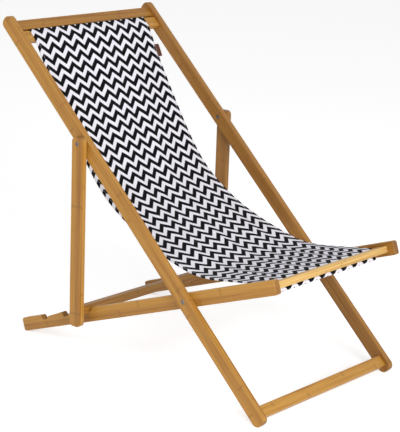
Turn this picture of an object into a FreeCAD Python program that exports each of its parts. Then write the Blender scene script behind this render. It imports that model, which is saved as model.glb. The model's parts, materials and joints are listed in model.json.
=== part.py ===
"""Folding sling deck chair in bamboo, in millimetres.

X runs across the chair, +Y to its back and +Z up. The origin is on the floor,
under the middle of the chair. Three frames make it: a long main frame that
leans back, a seat frame that crosses it at the seat pivots, and a prop frame
that hangs from the prop pivots and stands in a notch of the seat rails.
"""

import FreeCAD, Part
import math
import os
import Sketcher

LEFT = -1
RIGHT = 1
SIDES = {"left": LEFT, "right": RIGHT}

doc = FreeCAD.newDocument("DeckChair")
sheet = doc.addObject("Spreadsheet::Sheet", "Sizes")

# Driving dimensions, in mm
SIZES = {
    # timber sections
    "rail_width": 36.5,
    "rail_depth": 18,
    "rail_ease": 1.6,
    "bar_width": 30,
    "bar_depth": 17,
    "bar_ease": 1.4,
    # overall layout across the chair
    "overall_width": 580,
    "layer_gap": 1.4,
    # main frame, measured along its rails from the seat pivot
    "foot_reach": 355,
    "head_reach": 895,
    "main_end_radius": 15,
    "head_bar_margin": 17,
    "foot_bar_margin": 14.5,
    "sling_slot": 6,
    # seat frame, measured along its rails from the seat pivot
    "seat_front_reach": 284,
    "seat_rear_reach": 627,
    "seat_end_radius": 6,
    "front_bar_margin": 22,
    # rack of notches in the seat rails
    "first_notch": 379,
    "notch_pitch": 85,
    "notch_bottom_start": 7.5,
    "notch_play": 1.2,
    "notch_lip_run": 8.5,
    "notch_depth": 13,
    "notch_lip_drop": 5.2,
    "notch_front_run": 8,
    # prop frame, measured along its struts from the prop pivot
    "prop_pivot_reach": 487,
    "prop_top_reach": 16.5,
    "prop_foot_reach": 484,
    "prop_top_radius": 12,
    "prop_foot_radius": 11,
    "prop_bar_reach": 440.6,
    "prop_bar_offset": 6.5,
    "prop_bar_height": 22,
    "prop_bar_depth": 18,
    "seating_gap": 0.3,
    # feet
    "foot_flat": 0.5,
    # pivot hardware
    "bolt_radius": 3,
    "bolt_clearance": 0.05,
    "head_radius": 5.5,
    "head_height": 3.4,
    "socket_radius": 2.5,
    "socket_depth": 2.2,
    "recess_radius": 6.2,
    "recess_depth": 4,
    "washer_radius": 8,
    "washer_play": 0.1,
    # dowels that join bars to rails
    "dowel_radius": 4,
    "dowel_fit": 0.03,
    "dowel_spread": 15,
    "dowel_in_rail": 11,
    "dowel_in_bar": 20,
    "dowel_end_gap": 0.5,
    # sling
    "sling_side_gap": 14.2,
    "sling_thickness": 1.6,
    "sling_clearance": 0.35,
    "sling_turn_radius": 2.2,
    "hem_dowel_radius": 5,
    "hem_dowel_fit": 0.3,
    "hem_drop": 0.8,
    "tab_length": 36,
    "tab_reach": 14,
    "tab_thickness": 1.4,
    "tab_from_bar": 52,
}

COUNTS = {"notch_count": 3}

for row, (alias, size) in enumerate({**SIZES, **COUNTS}.items(), start=1):
    sheet.set(f"A{row}", alias)
    sheet.set(f"B{row}", str(size))
    sheet.setAlias(f"B{row}", alias)
doc.recompute()


def value(expression):
    """Number that an expression on the sheet gives."""
    result = sheet.evalExpression(expression)
    return float(getattr(result, "Value", result))


def size(alias):
    """One driving dimension."""
    return float(sheet.get(alias))


# Planes across the chair, as expressions for the right-hand side
PROP_OUTER = "Sizes.overall_width / 2"
PROP_INNER = f"({PROP_OUTER} - Sizes.rail_depth)"
MAIN_OUTER = f"({PROP_INNER} - Sizes.layer_gap)"
MAIN_INNER = f"({MAIN_OUTER} - Sizes.rail_depth)"
SEAT_OUTER = f"({MAIN_INNER} - Sizes.layer_gap)"
SEAT_INNER = f"({SEAT_OUTER} - Sizes.rail_depth)"

# Cloth's width, from the space between the seat rails
SLING_WIDTH = f"(2 * {SEAT_INNER} - 2 * Sizes.sling_side_gap)"

# Middles of the bars along their rails
TOP_BAR = "(Sizes.head_reach - Sizes.head_bar_margin - Sizes.bar_width / 2)"
TOP_SLING_BAR = f"({TOP_BAR} - Sizes.bar_width - Sizes.sling_slot)"
STRETCHER = "(-Sizes.foot_reach + Sizes.foot_bar_margin + Sizes.bar_width / 2)"
FRONT_BAR = "(-Sizes.seat_front_reach + Sizes.front_bar_margin + Sizes.bar_width / 2)"
FRONT_SLING_BAR = f"({FRONT_BAR} + Sizes.bar_width + Sizes.sling_slot)"


def add(p, q, k=1.0):
    """Point p moved by k times q, both pairs."""
    return (p[0] + k * q[0], p[1] + k * q[1])


def turned(p, angle):
    """Pair p turned counter-clockwise by angle."""
    c, s = math.cos(angle), math.sin(angle)
    return (c * p[0] - s * p[1], s * p[0] + c * p[1])


def seat_prop_bar():
    """Opening angle, strut lean and front of the bar, which is seated in the first notch.

    Works in the seat rail's own frame: first value to the rear along the rail,
    second value up from its middle line. The bar's lower front edge stands on
    the notch's floor and its lower rear edge leans on the notch's rear wall.
    """
    half_high = size("prop_bar_height") / 2
    half_deep = size("prop_bar_depth") / 2
    floor = size("rail_width") / 2 - size("notch_depth")
    wall_slope = size("notch_bottom_start") / size("notch_depth")
    gap = size("seating_gap")
    lean = math.radians(20)
    for _ in range(30):
        down = (math.sin(lean), -math.cos(lean))
        rear = (math.cos(lean), math.sin(lean))
        front_edge = add((half_high * down[0], half_high * down[1]), rear, -half_deep)
        rear_edge = add((half_high * down[0], half_high * down[1]), rear, half_deep)
        height = floor + gap - front_edge[1]
        wall_drop = size("rail_width") / 2 - (height + rear_edge[1])
        reach = size("first_notch") - wall_slope * wall_drop - 1.5 * gap - rear_edge[0]
        centre = (reach, height)
        far = math.hypot(*centre)
        strut = math.hypot(size("prop_bar_reach"), size("prop_bar_offset"))
        pivot = size("prop_pivot_reach")
        cosine = (pivot ** 2 + far ** 2 - strut ** 2) / (2 * pivot * far)
        opening = math.acos(cosine) + math.atan2(height, reach)
        hinge = (pivot * math.cos(opening), pivot * math.sin(opening))
        to_bar = math.atan2(reach - hinge[0], hinge[1] - height)
        lean = to_bar + math.atan2(size("prop_bar_offset"), size("prop_bar_reach"))
    return opening, lean, reach + front_edge[0]


OPENING, LEAN, BAR_FRONT = seat_prop_bar()

# Notch outline, measured forward from the top of its rear wall
NOTCH_BOTTOM_END = size("first_notch") - BAR_FRONT + size("notch_play")
NOTCH_LIP = NOTCH_BOTTOM_END + size("notch_lip_run")
NOTCH_FRONT = NOTCH_LIP + size("notch_front_run")


def main_slope():
    """Angle of the main rails above the floor when feet and seat ends both stand on it."""
    half = size("rail_width") / 2
    foot = size("foot_reach") - size("main_end_radius")
    foot_side = half - size("main_end_radius")
    rear = size("seat_rear_reach") - size("seat_end_radius")
    rear_side = half - size("seat_end_radius")
    a = foot + rear * math.cos(OPENING) - rear_side * math.sin(OPENING)
    b = foot_side - rear * math.sin(OPENING) - rear_side * math.cos(OPENING)
    c = size("seat_end_radius") - size("main_end_radius")
    return math.asin(c / math.hypot(a, b)) - math.atan2(b, a)


MAIN_ANGLE = main_slope()
SEAT_ANGLE = MAIN_ANGLE - OPENING
STRUT_ANGLE = SEAT_ANGLE - math.pi / 2 + LEAN

FOOT_CENTRE = size("foot_reach") - size("main_end_radius")
FOOT_SIDE = size("rail_width") / 2 - size("main_end_radius")
PIVOT_HEIGHT = (FOOT_CENTRE * math.sin(MAIN_ANGLE) + FOOT_SIDE * math.cos(MAIN_ANGLE)
                + size("main_end_radius") - size("foot_flat"))


def head_extent():
    """Rearmost point of the main rails' heads from the seat pivot."""
    radius = size("main_end_radius")
    along = size("head_reach") - radius
    side = size("rail_width") / 2 - radius
    return along * math.cos(MAIN_ANGLE) + side * math.sin(MAIN_ANGLE) + radius


def foot_extent():
    """Foremost point of the main rails' feet from the seat pivot."""
    return (FOOT_CENTRE * math.cos(MAIN_ANGLE) + FOOT_SIDE * math.sin(MAIN_ANGLE)
            + size("main_end_radius"))


PIVOT = ((foot_extent() - head_extent()) / 2, PIVOT_HEIGHT)
PROP_PIVOT = add(PIVOT, turned((size("prop_pivot_reach"), 0), MAIN_ANGLE))


def along_main(reach, rise=0.0):
    """Point (y, z) at a reach along the main rails, with a rise to their front."""
    return add(PIVOT, turned((reach, rise), MAIN_ANGLE))


def along_seat(reach, rise=0.0):
    """Point (y, z) at a reach to the rear along the seat rails, with a rise above them."""
    return add(PIVOT, turned((reach, rise), SEAT_ANGLE))


def side_placement(origin, angle, side, inner):
    """Frame of a board: x along it, z outwards from its inner face.

    The frame is right-handed on both sides, so y points up on the right side
    and down on the left.
    """
    along = FreeCAD.Vector(0, math.cos(angle), math.sin(angle))
    out = FreeCAD.Vector(side, 0, 0)
    across = out.cross(along)
    base = FreeCAD.Vector(side * inner, origin[0], origin[1])
    return axes_placement(along, across, out, base)


def axes_placement(x_axis, y_axis, z_axis, base):
    """Placement from three axes and an origin."""
    matrix = FreeCAD.Matrix(
        x_axis.x, y_axis.x, z_axis.x, base.x,
        x_axis.y, y_axis.y, z_axis.y, base.y,
        x_axis.z, y_axis.z, z_axis.z, base.z,
        0, 0, 0, 1)
    return FreeCAD.Placement(matrix)


def local_placement(x, y, z, turn=0.0):
    """Placement inside a body's own frame."""
    rotation = FreeCAD.Rotation(FreeCAD.Vector(0, 0, 1), math.degrees(turn))
    return FreeCAD.Placement(FreeCAD.Vector(x, y, z), rotation)


def plane(body, role):
    """Origin plane of a body."""
    for feature in body.Origin.OriginFeatures:
        if feature.Role == role:
            return feature
    raise ValueError(role)


def new_body(label):
    """Empty body whose label is its node's name."""
    body = doc.addObject("PartDesign::Body", label)
    body.Label = label
    return body


def rounded_outline(body, low, high, width, low_radius, high_radius):
    """Sketch of a board's side: a rectangle with two round corners at each end.

    Arguments are expressions: reaches of the two ends, full width and radii.
    """
    sketch = body.newObject("Sketcher::SketchObject", body.Name + "_outline")
    sketch.AttachmentSupport = [(plane(body, "XY_Plane"), "")]
    sketch.MapMode = "FlatFace"
    x0, x1, half = value(low), value(high), value(width) / 2
    r0, r1 = value(low_radius), value(high_radius)
    bottom, right, top, left = range(4)
    corners = range(4, 8)
    V = FreeCAD.Vector
    sketch.addGeometry(Part.LineSegment(V(x0 + r0, -half, 0), V(x1 - r1, -half, 0)))
    sketch.addGeometry(Part.LineSegment(V(x1, -half + r1, 0), V(x1, half - r1, 0)))
    sketch.addGeometry(Part.LineSegment(V(x1 - r1, half, 0), V(x0 + r0, half, 0)))
    sketch.addGeometry(Part.LineSegment(V(x0, half - r0, 0), V(x0, -half + r0, 0)))
    centres = [(x1 - r1, -half + r1, r1), (x1 - r1, half - r1, r1),
               (x0 + r0, half - r0, r0), (x0 + r0, -half + r0, r0)]
    for quarter, (cx, cy, radius) in enumerate(centres):
        circle = Part.Circle(V(cx, cy, 0), V(0, 0, 1), radius)
        start = (quarter - 1) * math.pi / 2
        sketch.addGeometry(Part.ArcOfCircle(circle, start, start + math.pi / 2))
    lines = (bottom, right, top, left)
    for quarter, corner in enumerate(corners):
        before, after = lines[quarter], lines[(quarter + 1) % 4]
        sketch.addConstraint(Sketcher.Constraint("Tangent", before, 2, corner, 1))
        sketch.addConstraint(Sketcher.Constraint("Tangent", corner, 2, after, 1))
    sketch.addConstraint(Sketcher.Constraint("Horizontal", bottom))
    sketch.addConstraint(Sketcher.Constraint("Vertical", right))
    sketch.addConstraint(Sketcher.Constraint("Horizontal", top))
    sketch.addConstraint(Sketcher.Constraint("Vertical", left))
    sketch.addConstraint(Sketcher.Constraint("Equal", corners[0], corners[1]))
    sketch.addConstraint(Sketcher.Constraint("Equal", corners[2], corners[3]))
    datums = [
        ("high_radius", ("Radius", corners[0], r1), high_radius),
        ("low_radius", ("Radius", corners[2], r0), low_radius),
        ("half_down", ("DistanceY", bottom, 1, -1, 1, half), f"({width}) / 2"),
        ("half_up", ("DistanceY", -1, 1, top, 1, half), f"({width}) / 2"),
        ("high_end", ("DistanceX", -1, 1, right, 1, x1), high),
        ("low_end", ("DistanceX", -1, 1, left, 1, x0), low),
    ]
    for name, arguments, expression in datums:
        index = sketch.addConstraint(Sketcher.Constraint(*arguments))
        sketch.renameConstraint(index, name)
        sketch.setExpression(f"Constraints.{name}", expression)
    return sketch


def padded(body, sketch, length, ease):
    """Board of a given thickness from its outline, with both faces' rims eased."""
    pad = body.newObject("PartDesign::Pad", body.Name + "_pad")
    pad.Profile = sketch
    pad.setExpression("Length", length)
    doc.recompute()
    faces = []
    for number, face in enumerate(pad.Shape.Faces, start=1):
        if face.Surface.TypeId == "Part::GeomPlane" and abs(face.normalAt(0, 0).z) > 0.99:
            faces.append(f"Face{number}")
    rims = body.newObject("PartDesign::Fillet", body.Name + "_eased")
    rims.Base = (pad, faces)
    rims.setExpression("Radius", ease)
    sketch.Visibility = False
    return rims


def drilled(body, name, radius, depth, placement):
    """Round hole from the placement's origin along its z."""
    hole = body.newObject("PartDesign::SubtractiveCylinder", f"{body.Name}_{name}")
    hole.setExpression("Radius", radius)
    hole.setExpression("Height", depth)
    hole.Placement = placement
    return hole


def floor_cut(body):
    """Flat where a board stands on the floor."""
    block = body.newObject("PartDesign::SubtractiveBox", body.Name + "_floor")
    long_side = size("overall_width") * 4
    for side_name in ("Length", "Width", "Height"):
        setattr(block, side_name, long_side)
    corner = FreeCAD.Vector(-long_side / 2, -long_side / 2, -long_side)
    block.Placement = body.Placement.inverse().multiply(
        FreeCAD.Placement(corner, FreeCAD.Rotation()))


BOLT_HOLE = "Sizes.bolt_radius + Sizes.bolt_clearance"
THROUGH = "Sizes.rail_depth"
RECESS = "Sizes.recess_depth"


def pivot_hole(body, name, reach, recess_face):
    """Bolt hole at a reach along a board, with a recess in its inner or outer face."""
    drilled(body, f"{name}_hole", BOLT_HOLE, THROUGH, local_placement(reach, 0, 0))
    if recess_face == "outer":
        start = size("rail_depth") - size("recess_depth")
        drilled(body, f"{name}_recess", "Sizes.recess_radius", RECESS,
                local_placement(reach, 0, start))
    if recess_face == "inner":
        drilled(body, f"{name}_recess", "Sizes.recess_radius", RECESS,
                local_placement(reach, 0, 0))


def dowel_offsets():
    """Places of the dowels across a bar: two, or one where the bar is too narrow."""
    half = size("dowel_spread") / 2
    return (-half, half) if size("bar_width") > 2 * half else (0.0,)


DOWEL_HOLE = "Sizes.dowel_radius + Sizes.dowel_fit"
RAIL_SOCKET = "Sizes.dowel_in_rail + Sizes.dowel_end_gap"
BAR_SOCKET = "Sizes.dowel_in_bar + Sizes.dowel_end_gap"


def bar_sockets(body, bar_reaches):
    """Blind dowel holes in a rail's inner face, two for each bar."""
    for number, reach in enumerate(bar_reaches, start=1):
        for index, offset in enumerate(dowel_offsets(), start=1):
            drilled(body, f"socket_{number}_{index}", DOWEL_HOLE, RAIL_SOCKET,
                    local_placement(reach + offset, 0, 0))


# Main frame: two long rails joined by two bars at the head and one at the feet


def main_rail(side_name):
    """Long rail with the seat pivot at its own origin."""
    body = new_body(f"main_rail_{side_name}")
    body.Placement = side_placement(PIVOT, MAIN_ANGLE, SIDES[side_name], value(MAIN_INNER))
    outline = rounded_outline(body, "-Sizes.foot_reach", "Sizes.head_reach",
                              "Sizes.rail_width", "Sizes.main_end_radius",
                              "Sizes.main_end_radius")
    padded(body, outline, "Sizes.rail_depth", "Sizes.rail_ease")
    pivot_hole(body, "seat_pivot", 0, "outer")
    pivot_hole(body, "prop_pivot", size("prop_pivot_reach"), "inner")
    bar_sockets(body, [value(TOP_BAR), value(TOP_SLING_BAR), value(STRETCHER)])
    floor_cut(body)
    return body


def cross_bar(label, centre, angle, inner_plane, height="Sizes.bar_width",
              depth="Sizes.bar_depth", offsets=None):
    """Bar from rail to rail: height along the rails, depth through them."""
    body = new_body(label)
    along = FreeCAD.Vector(0, math.cos(angle), math.sin(angle))
    out = FreeCAD.Vector(1, 0, 0)
    base = FreeCAD.Vector(-value(inner_plane), centre[0], centre[1])
    body.Placement = axes_placement(along, out.cross(along), out, base)
    outline = rounded_outline(body, f"-({height}) / 2", f"({height}) / 2", depth,
                              "Sizes.bar_ease", "Sizes.bar_ease")
    pad = body.newObject("PartDesign::Pad", label + "_pad")
    pad.Profile = outline
    pad.setExpression("Length", f"2 * {inner_plane}")
    outline.Visibility = False
    far_end = 2 * value(inner_plane) - value(BAR_SOCKET)
    for index, offset in enumerate(offsets or dowel_offsets(), start=1):
        drilled(body, f"near_{index}", DOWEL_HOLE, BAR_SOCKET, local_placement(offset, 0, 0))
        drilled(body, f"far_{index}", DOWEL_HOLE, BAR_SOCKET,
                local_placement(offset, 0, far_end))
    return body


def joined(label, solids):
    """Node that holds a group of separate solids."""
    feature = doc.addObject("Part::Feature", label)
    feature.Label = label
    feature.Shape = Part.makeCompound(solids)
    feature.Placement = FreeCAD.Placement()
    return feature


def dowel_group(label, bars, inner_plane, joint_angle, offsets=None):
    """Dowels of several bars: each crosses from a rail's inner face into the bar."""
    solids = []
    along = turned((1, 0), joint_angle)
    for centre in bars:
        for offset in offsets or dowel_offsets():
            place = add(centre, along, offset)
            for side in (LEFT, RIGHT):
                start = side * (inner_plane + size("dowel_in_rail"))
                solids.append(Part.makeCylinder(
                    size("dowel_radius"), size("dowel_in_rail") + size("dowel_in_bar"),
                    FreeCAD.Vector(start, place[0], place[1]), FreeCAD.Vector(-side, 0, 0)))
    return joined(label, solids)


# Seat frame: two rails with a rack of notches, joined by two bars at the front


def notch_sketch(body, side):
    """Outline of one notch, open past the rail's top edge.

    The board's local y points up on the right and down on the left.
    """
    sketch = body.newObject("Sketcher::SketchObject", body.Name + "_notch")
    sketch.AttachmentSupport = [(plane(body, "XY_Plane"), "")]
    sketch.MapMode = "FlatFace"
    up = side
    top = "(Sizes.rail_width / 2)"
    floor = f"({top} - Sizes.notch_depth)"
    lip = f"({top} - Sizes.notch_lip_drop)"
    clear = f"({top} + Sizes.notch_depth)"
    first = "Sizes.first_notch"
    corners = [
        (first, top),
        (f"{first} - Sizes.notch_bottom_start", floor),
        (f"{first} - {NOTCH_BOTTOM_END}", floor),
        (f"{first} - {NOTCH_LIP}", lip),
        (f"{first} - {NOTCH_FRONT}", top),
        (f"{first} - {NOTCH_FRONT}", clear),
        (first, clear),
    ]
    points = [FreeCAD.Vector(value(x), up * value(y), 0) for x, y in corners]
    for index, point in enumerate(points):
        following = points[(index + 1) % len(points)]
        sketch.addGeometry(Part.LineSegment(point, following))
    for index in range(len(points)):
        following = (index + 1) % len(points)
        sketch.addConstraint(Sketcher.Constraint("Coincident", index, 2, following, 1))
    for index, (x, y) in enumerate(corners):
        across = sketch.addConstraint(
            Sketcher.Constraint("DistanceX", -1, 1, index, 1, points[index].x))
        sketch.setExpression(f"Constraints[{across}]", x)
        rise = Sketcher.Constraint("DistanceY", -1, 1, index, 1, points[index].y)
        if up < 0:
            rise = Sketcher.Constraint("DistanceY", index, 1, -1, 1, -points[index].y)
        upright = sketch.addConstraint(rise)
        sketch.setExpression(f"Constraints[{upright}]", y)
    sketch.Visibility = False
    return sketch


def ramp_sketch(body, side):
    """Wedge off the top of the tooth behind the first notch."""
    sketch = body.newObject("Sketcher::SketchObject", body.Name + "_ramp")
    sketch.AttachmentSupport = [(plane(body, "XY_Plane"), "")]
    sketch.MapMode = "FlatFace"
    up = side
    top = value("Sizes.rail_width / 2")
    start = size("first_notch")
    lip = start + size("notch_pitch") - NOTCH_LIP
    low = top - size("notch_lip_drop")
    points = [FreeCAD.Vector(start, up * top, 0), FreeCAD.Vector(lip, up * low, 0),
              FreeCAD.Vector(lip, up * (top + size("notch_depth")), 0),
              FreeCAD.Vector(start, up * (top + size("notch_depth")), 0)]
    for index, point in enumerate(points):
        sketch.addGeometry(Part.LineSegment(point, points[(index + 1) % len(points)]))
    for index in range(len(points)):
        sketch.addConstraint(Sketcher.Constraint(
            "Coincident", index, 2, (index + 1) % len(points), 1))
    sketch.Visibility = False
    return sketch


def rack_cut(body, sketch, name, count):
    """Pocket through the rail, repeated along it."""
    before = body.Tip.Shape.Volume
    pocket = body.newObject("PartDesign::Pocket", f"{body.Name}_{name}_cut")
    pocket.Profile = sketch
    pocket.Type = "ThroughAll"
    pocket.Reversed = True
    doc.recompute()
    if pocket.Shape.Volume >= before:
        raise ValueError(f"{name} cuts nothing")
    if count < 2:
        return
    pattern = body.newObject("PartDesign::LinearPattern", f"{body.Name}_{name}_row")
    pattern.Originals = [pocket]
    axis = next(f for f in body.Origin.OriginFeatures if f.Role == "X_Axis")
    pattern.Direction = (axis, [""])
    pattern.Occurrences = count
    pattern.setExpression("Length", f"Sizes.notch_pitch * {count - 1}")
    body.Tip = pattern
    doc.recompute()


def seat_rail(side_name):
    """Seat rail with the seat pivot at its own origin, x to the rear."""
    side = SIDES[side_name]
    body = new_body(f"seat_rail_{side_name}")
    body.Placement = side_placement(PIVOT, SEAT_ANGLE, side, value(SEAT_INNER))
    outline = rounded_outline(body, "-Sizes.seat_front_reach", "Sizes.seat_rear_reach",
                              "Sizes.rail_width", "Sizes.seat_end_radius",
                              "Sizes.seat_end_radius")
    padded(body, outline, "Sizes.rail_depth", "Sizes.rail_ease")
    doc.recompute()
    count = int(size("notch_count"))
    rack_cut(body, notch_sketch(body, side), "notch", count)
    rack_cut(body, ramp_sketch(body, side), "ramp", count - 1)
    pivot_hole(body, "seat_pivot", 0, "inner")
    bar_sockets(body, [value(FRONT_BAR), value(FRONT_SLING_BAR)])
    floor_cut(body)
    return body


# Prop frame: two struts outside the main rails, joined by the bar that the notches hold


def prop_strut(side_name):
    """Strut with the prop pivot at its own origin, x down along it."""
    body = new_body(f"prop_strut_{side_name}")
    body.Placement = side_placement(PROP_PIVOT, STRUT_ANGLE, SIDES[side_name],
                                    value(PROP_INNER))
    outline = rounded_outline(body, "-Sizes.prop_top_reach", "Sizes.prop_foot_reach",
                              "Sizes.rail_width", "Sizes.prop_top_radius",
                              "Sizes.prop_foot_radius")
    padded(body, outline, "Sizes.rail_depth", "Sizes.rail_ease")
    pivot_hole(body, "prop_pivot", 0, "outer")
    place = local_placement(size("prop_bar_reach"),
                            -SIDES[side_name] * size("prop_bar_offset"), 0)
    drilled(body, "bar_socket", DOWEL_HOLE, RAIL_SOCKET, place)
    return body


def prop_bar_centre():
    """Middle of the prop's bar, (y, z)."""
    down = turned((1, 0), STRUT_ANGLE)
    rear = turned((0, 1), STRUT_ANGLE)
    return add(add(PROP_PIVOT, down, size("prop_bar_reach")), rear,
               -size("prop_bar_offset"))


# Pivot hardware: bolt with a socket head, washer between the layers, round nut


def ring(outer, inner, height, start, direction):
    """Round washer or nut."""
    return Part.makeCylinder(outer, height, start, direction).cut(
        Part.makeCylinder(inner, height, start, direction))


def pivot_set(place, outer_plane, middle_gap_plane, inner_plane):
    """Bolts, washers and nuts of both sides at one pivot.

    Planes are distances from the chair's middle: outer face of the outer board,
    inner face of the outer board and inner face of the inner board.
    """
    bolts, washers, nuts = [], [], []
    for side in (LEFT, RIGHT):
        inwards = FreeCAD.Vector(-side, 0, 0)

        def point(distance):
            return FreeCAD.Vector(side * distance, place[0], place[1])

        seat = outer_plane - size("recess_depth")
        head_top = seat + size("head_height")
        nut_seat = inner_plane + size("recess_depth")
        nut_face = nut_seat - size("head_height")
        head = Part.makeCylinder(size("head_radius"), size("head_height"),
                                 point(head_top), inwards)
        rims = [edge for edge in head.Edges
                if edge.Curve.TypeId == "Part::GeomCircle"
                and abs(edge.Curve.Center.x - point(head_top).x) < 0.01]
        head = head.makeFillet(size("head_height") / 5, rims)
        shank = Part.makeCylinder(size("bolt_radius"), seat - nut_face,
                                  point(seat), inwards)
        socket = Part.makeCylinder(size("socket_radius"), size("socket_depth"),
                                   point(head_top), inwards)
        bolts.append(head.fuse(shank).cut(socket).removeSplitter())
        nuts.append(ring(size("head_radius"), size("bolt_radius"), size("head_height"),
                         point(nut_seat), inwards))
        washers.append(ring(size("washer_radius"), size("bolt_radius"),
                            size("layer_gap") - size("washer_play"),
                            point(middle_gap_plane), inwards))
    return bolts, washers, nuts


# Sling: one strip of cloth from hem to hem, hung between the two sling bars


def unit(p):
    length = math.hypot(*p)
    return (p[0] / length, p[1] / length)


def dot(p, q):
    return p[0] * q[0] + p[1] * q[1]


def biarc_joint(p, tangent_p, q, tangent_q):
    """Meeting point of two equal-reach arcs that join p to q smoothly."""
    v = (q[0] - p[0], q[1] - p[1])
    total = add(tangent_p, tangent_q)
    a = 2 * (1 - dot(tangent_p, tangent_q))
    b = 2 * dot(v, total)
    c = -dot(v, v)
    if abs(a) < 1e-9:
        reach = -c / b
    else:
        reach = (-b + math.sqrt(b * b - 4 * a * c)) / (2 * a)
    first = add(p, tangent_p, reach)
    second = add(q, tangent_q, -reach)
    return ((first[0] + second[0]) / 2, (first[1] + second[1]) / 2)


def arc_middle(p, tangent, q):
    """Middle point and end tangent of the arc that leaves p along tangent for q."""
    chord = (q[0] - p[0], q[1] - p[1])
    turn = math.atan2(tangent[0] * chord[1] - tangent[1] * chord[0], dot(tangent, chord))
    half_chord = math.hypot(*chord) / 2
    bulge = half_chord * math.tan(turn / 2)
    across = unit((-chord[1], chord[0]))
    middle = add(((p[0] + q[0]) / 2, (p[1] + q[1]) / 2), across, -bulge)
    return middle, turned(tangent, 2 * turn)


def hang_points():
    """Places where the sling leaves the top bar and reaches the front bar, and its sag."""
    stand_off = (size("bar_depth") + size("sling_thickness")) / 2 + size("sling_clearance")
    top = along_main(value(TOP_SLING_BAR) - size("bar_width") / 2, stand_off)
    bend = (value(FRONT_SLING_BAR) - size("bar_width") / 2 - size("sling_slot") / 2
            + size("sling_turn_radius"))
    front = along_seat(bend, stand_off)
    return top, front


# Sag of the cloth behind the straight line between the bars: share of the line, sag in mm
SLING_SAG = [(0.12, 67), (0.312, 156), (0.42, 190), (0.52, 197.5), (0.617, 189),
             (0.714, 169), (0.802, 142), (0.857, 111), (0.916, 67)]


def sling_line():
    """Middle line of the cloth as (start, middle, end) arcs and straight runs."""
    top, front = hang_points()
    chord = (front[0] - top[0], front[1] - top[1])
    length = math.hypot(*chord)
    ahead = unit(chord)
    back = (-ahead[1], ahead[0])
    points = [top]
    for share, sag in SLING_SAG:
        points.append(add(add(top, ahead, share * length), back, sag))
    points.append(front)
    first_run = (points[1][0] - top[0], points[1][1] - top[1])
    tangents = [unit(first_run)]
    for index in range(1, len(points) - 1):
        before, after = points[index - 1], points[index + 1]
        tangents.append(unit((after[0] - before[0], after[1] - before[1])))
    last_run = (front[0] - points[-2][0], front[1] - points[-2][1])
    tangents.append(unit(last_run))
    pieces = []
    for index in range(len(points) - 1):
        joint = biarc_joint(points[index], tangents[index], points[index + 1],
                            tangents[index + 1])
        middle, heading = arc_middle(points[index], tangents[index], joint)
        pieces.append((points[index], middle, joint))
        middle, heading = arc_middle(joint, heading, points[index + 1])
        pieces.append((joint, middle, points[index + 1]))
    return pieces


def strip_faces(pieces):
    """Side faces of the cloth, one for each arc, as thin bands about the middle line."""
    half = size("sling_thickness") / 2
    bands = []
    for start, middle, end in pieces:
        bands.append(band(start, middle, end, half))
    return bands


def circle_of(start, middle, end):
    """Centre and radius of the circle through three points."""
    ax, ay = start
    bx, by = middle
    cx, cy = end
    d = 2 * (ax * (by - cy) + bx * (cy - ay) + cx * (ay - by))
    a2, b2, c2 = ax * ax + ay * ay, bx * bx + by * by, cx * cx + cy * cy
    centre = ((a2 * (by - cy) + b2 * (cy - ay) + c2 * (ay - by)) / d,
              (a2 * (cx - bx) + b2 * (ax - cx) + c2 * (bx - ax)) / d)
    return centre, math.dist(centre, start)


def band(start, middle, end, half):
    """Face of a thin band about an arc or a straight run, in the plane X = 0."""
    cross = ((middle[0] - start[0]) * (end[1] - start[1])
             - (middle[1] - start[1]) * (end[0] - start[0]))
    if abs(cross) < 1e-6 * math.dist(start, end) ** 2:
        across = unit((start[1] - end[1], end[0] - start[0]))
        ring_points = [add(start, across, half), add(end, across, half),
                       add(end, across, -half), add(start, across, -half)]
        corners = [FreeCAD.Vector(0, *p) for p in ring_points]
        return Part.Face(Part.makePolygon(corners + corners[:1]))
    centre, radius = circle_of(start, middle, end)

    def at(p, reach):
        scale = reach / radius
        return FreeCAD.Vector(0, centre[0] + (p[0] - centre[0]) * scale,
                              centre[1] + (p[1] - centre[1]) * scale)

    outer = Part.Arc(at(start, radius + half), at(middle, radius + half),
                     at(end, radius + half)).toShape()
    inner = Part.Arc(at(end, radius - half), at(middle, radius - half),
                     at(start, radius - half)).toShape()
    close_end = Part.LineSegment(at(end, radius + half), at(end, radius - half)).toShape()
    close_start = Part.LineSegment(at(start, radius - half), at(start, radius + half)).toShape()
    return Part.Face(Part.Wire([outer, close_end, inner, close_start]))


def slot_turn(place, bar_reach, slot_sign):
    """Path over a sling bar's edge and down through the slot beside it, and the hem's middle.

    place maps (reach, rise) to (y, z). The slot is on the slot_sign side of the bar.
    """
    stand_off = (size("bar_depth") + size("sling_thickness")) / 2 + size("sling_clearance")
    radius = size("sling_turn_radius")
    slot_middle = bar_reach + slot_sign * (size("bar_width") + size("sling_slot")) / 2
    bend = slot_middle - slot_sign * radius
    lean = radius * (1 - math.sqrt(0.5))
    turn = (place(bend, stand_off),
            place(slot_middle - slot_sign * lean, stand_off - lean),
            place(slot_middle, stand_off - radius))
    hem_top = -(size("bar_depth") / 2 + size("hem_drop"))
    through = (place(slot_middle, stand_off - radius), place(slot_middle, 0),
               place(slot_middle, hem_top))
    hem_radius = size("hem_dowel_radius") + size("hem_dowel_fit") + size("sling_thickness") / 2
    hem = place(slot_middle, hem_top - hem_radius)
    return [turn, through], hem


def over_top_bar():
    """Run of the cloth across the front face of the upper sling bar."""
    top, _ = hang_points()
    (start, _, _), _ = slot_turn(along_main, value(TOP_SLING_BAR), 1)[0]
    return (top, ((top[0] + start[0]) / 2, (top[1] + start[1]) / 2), start)


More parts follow.
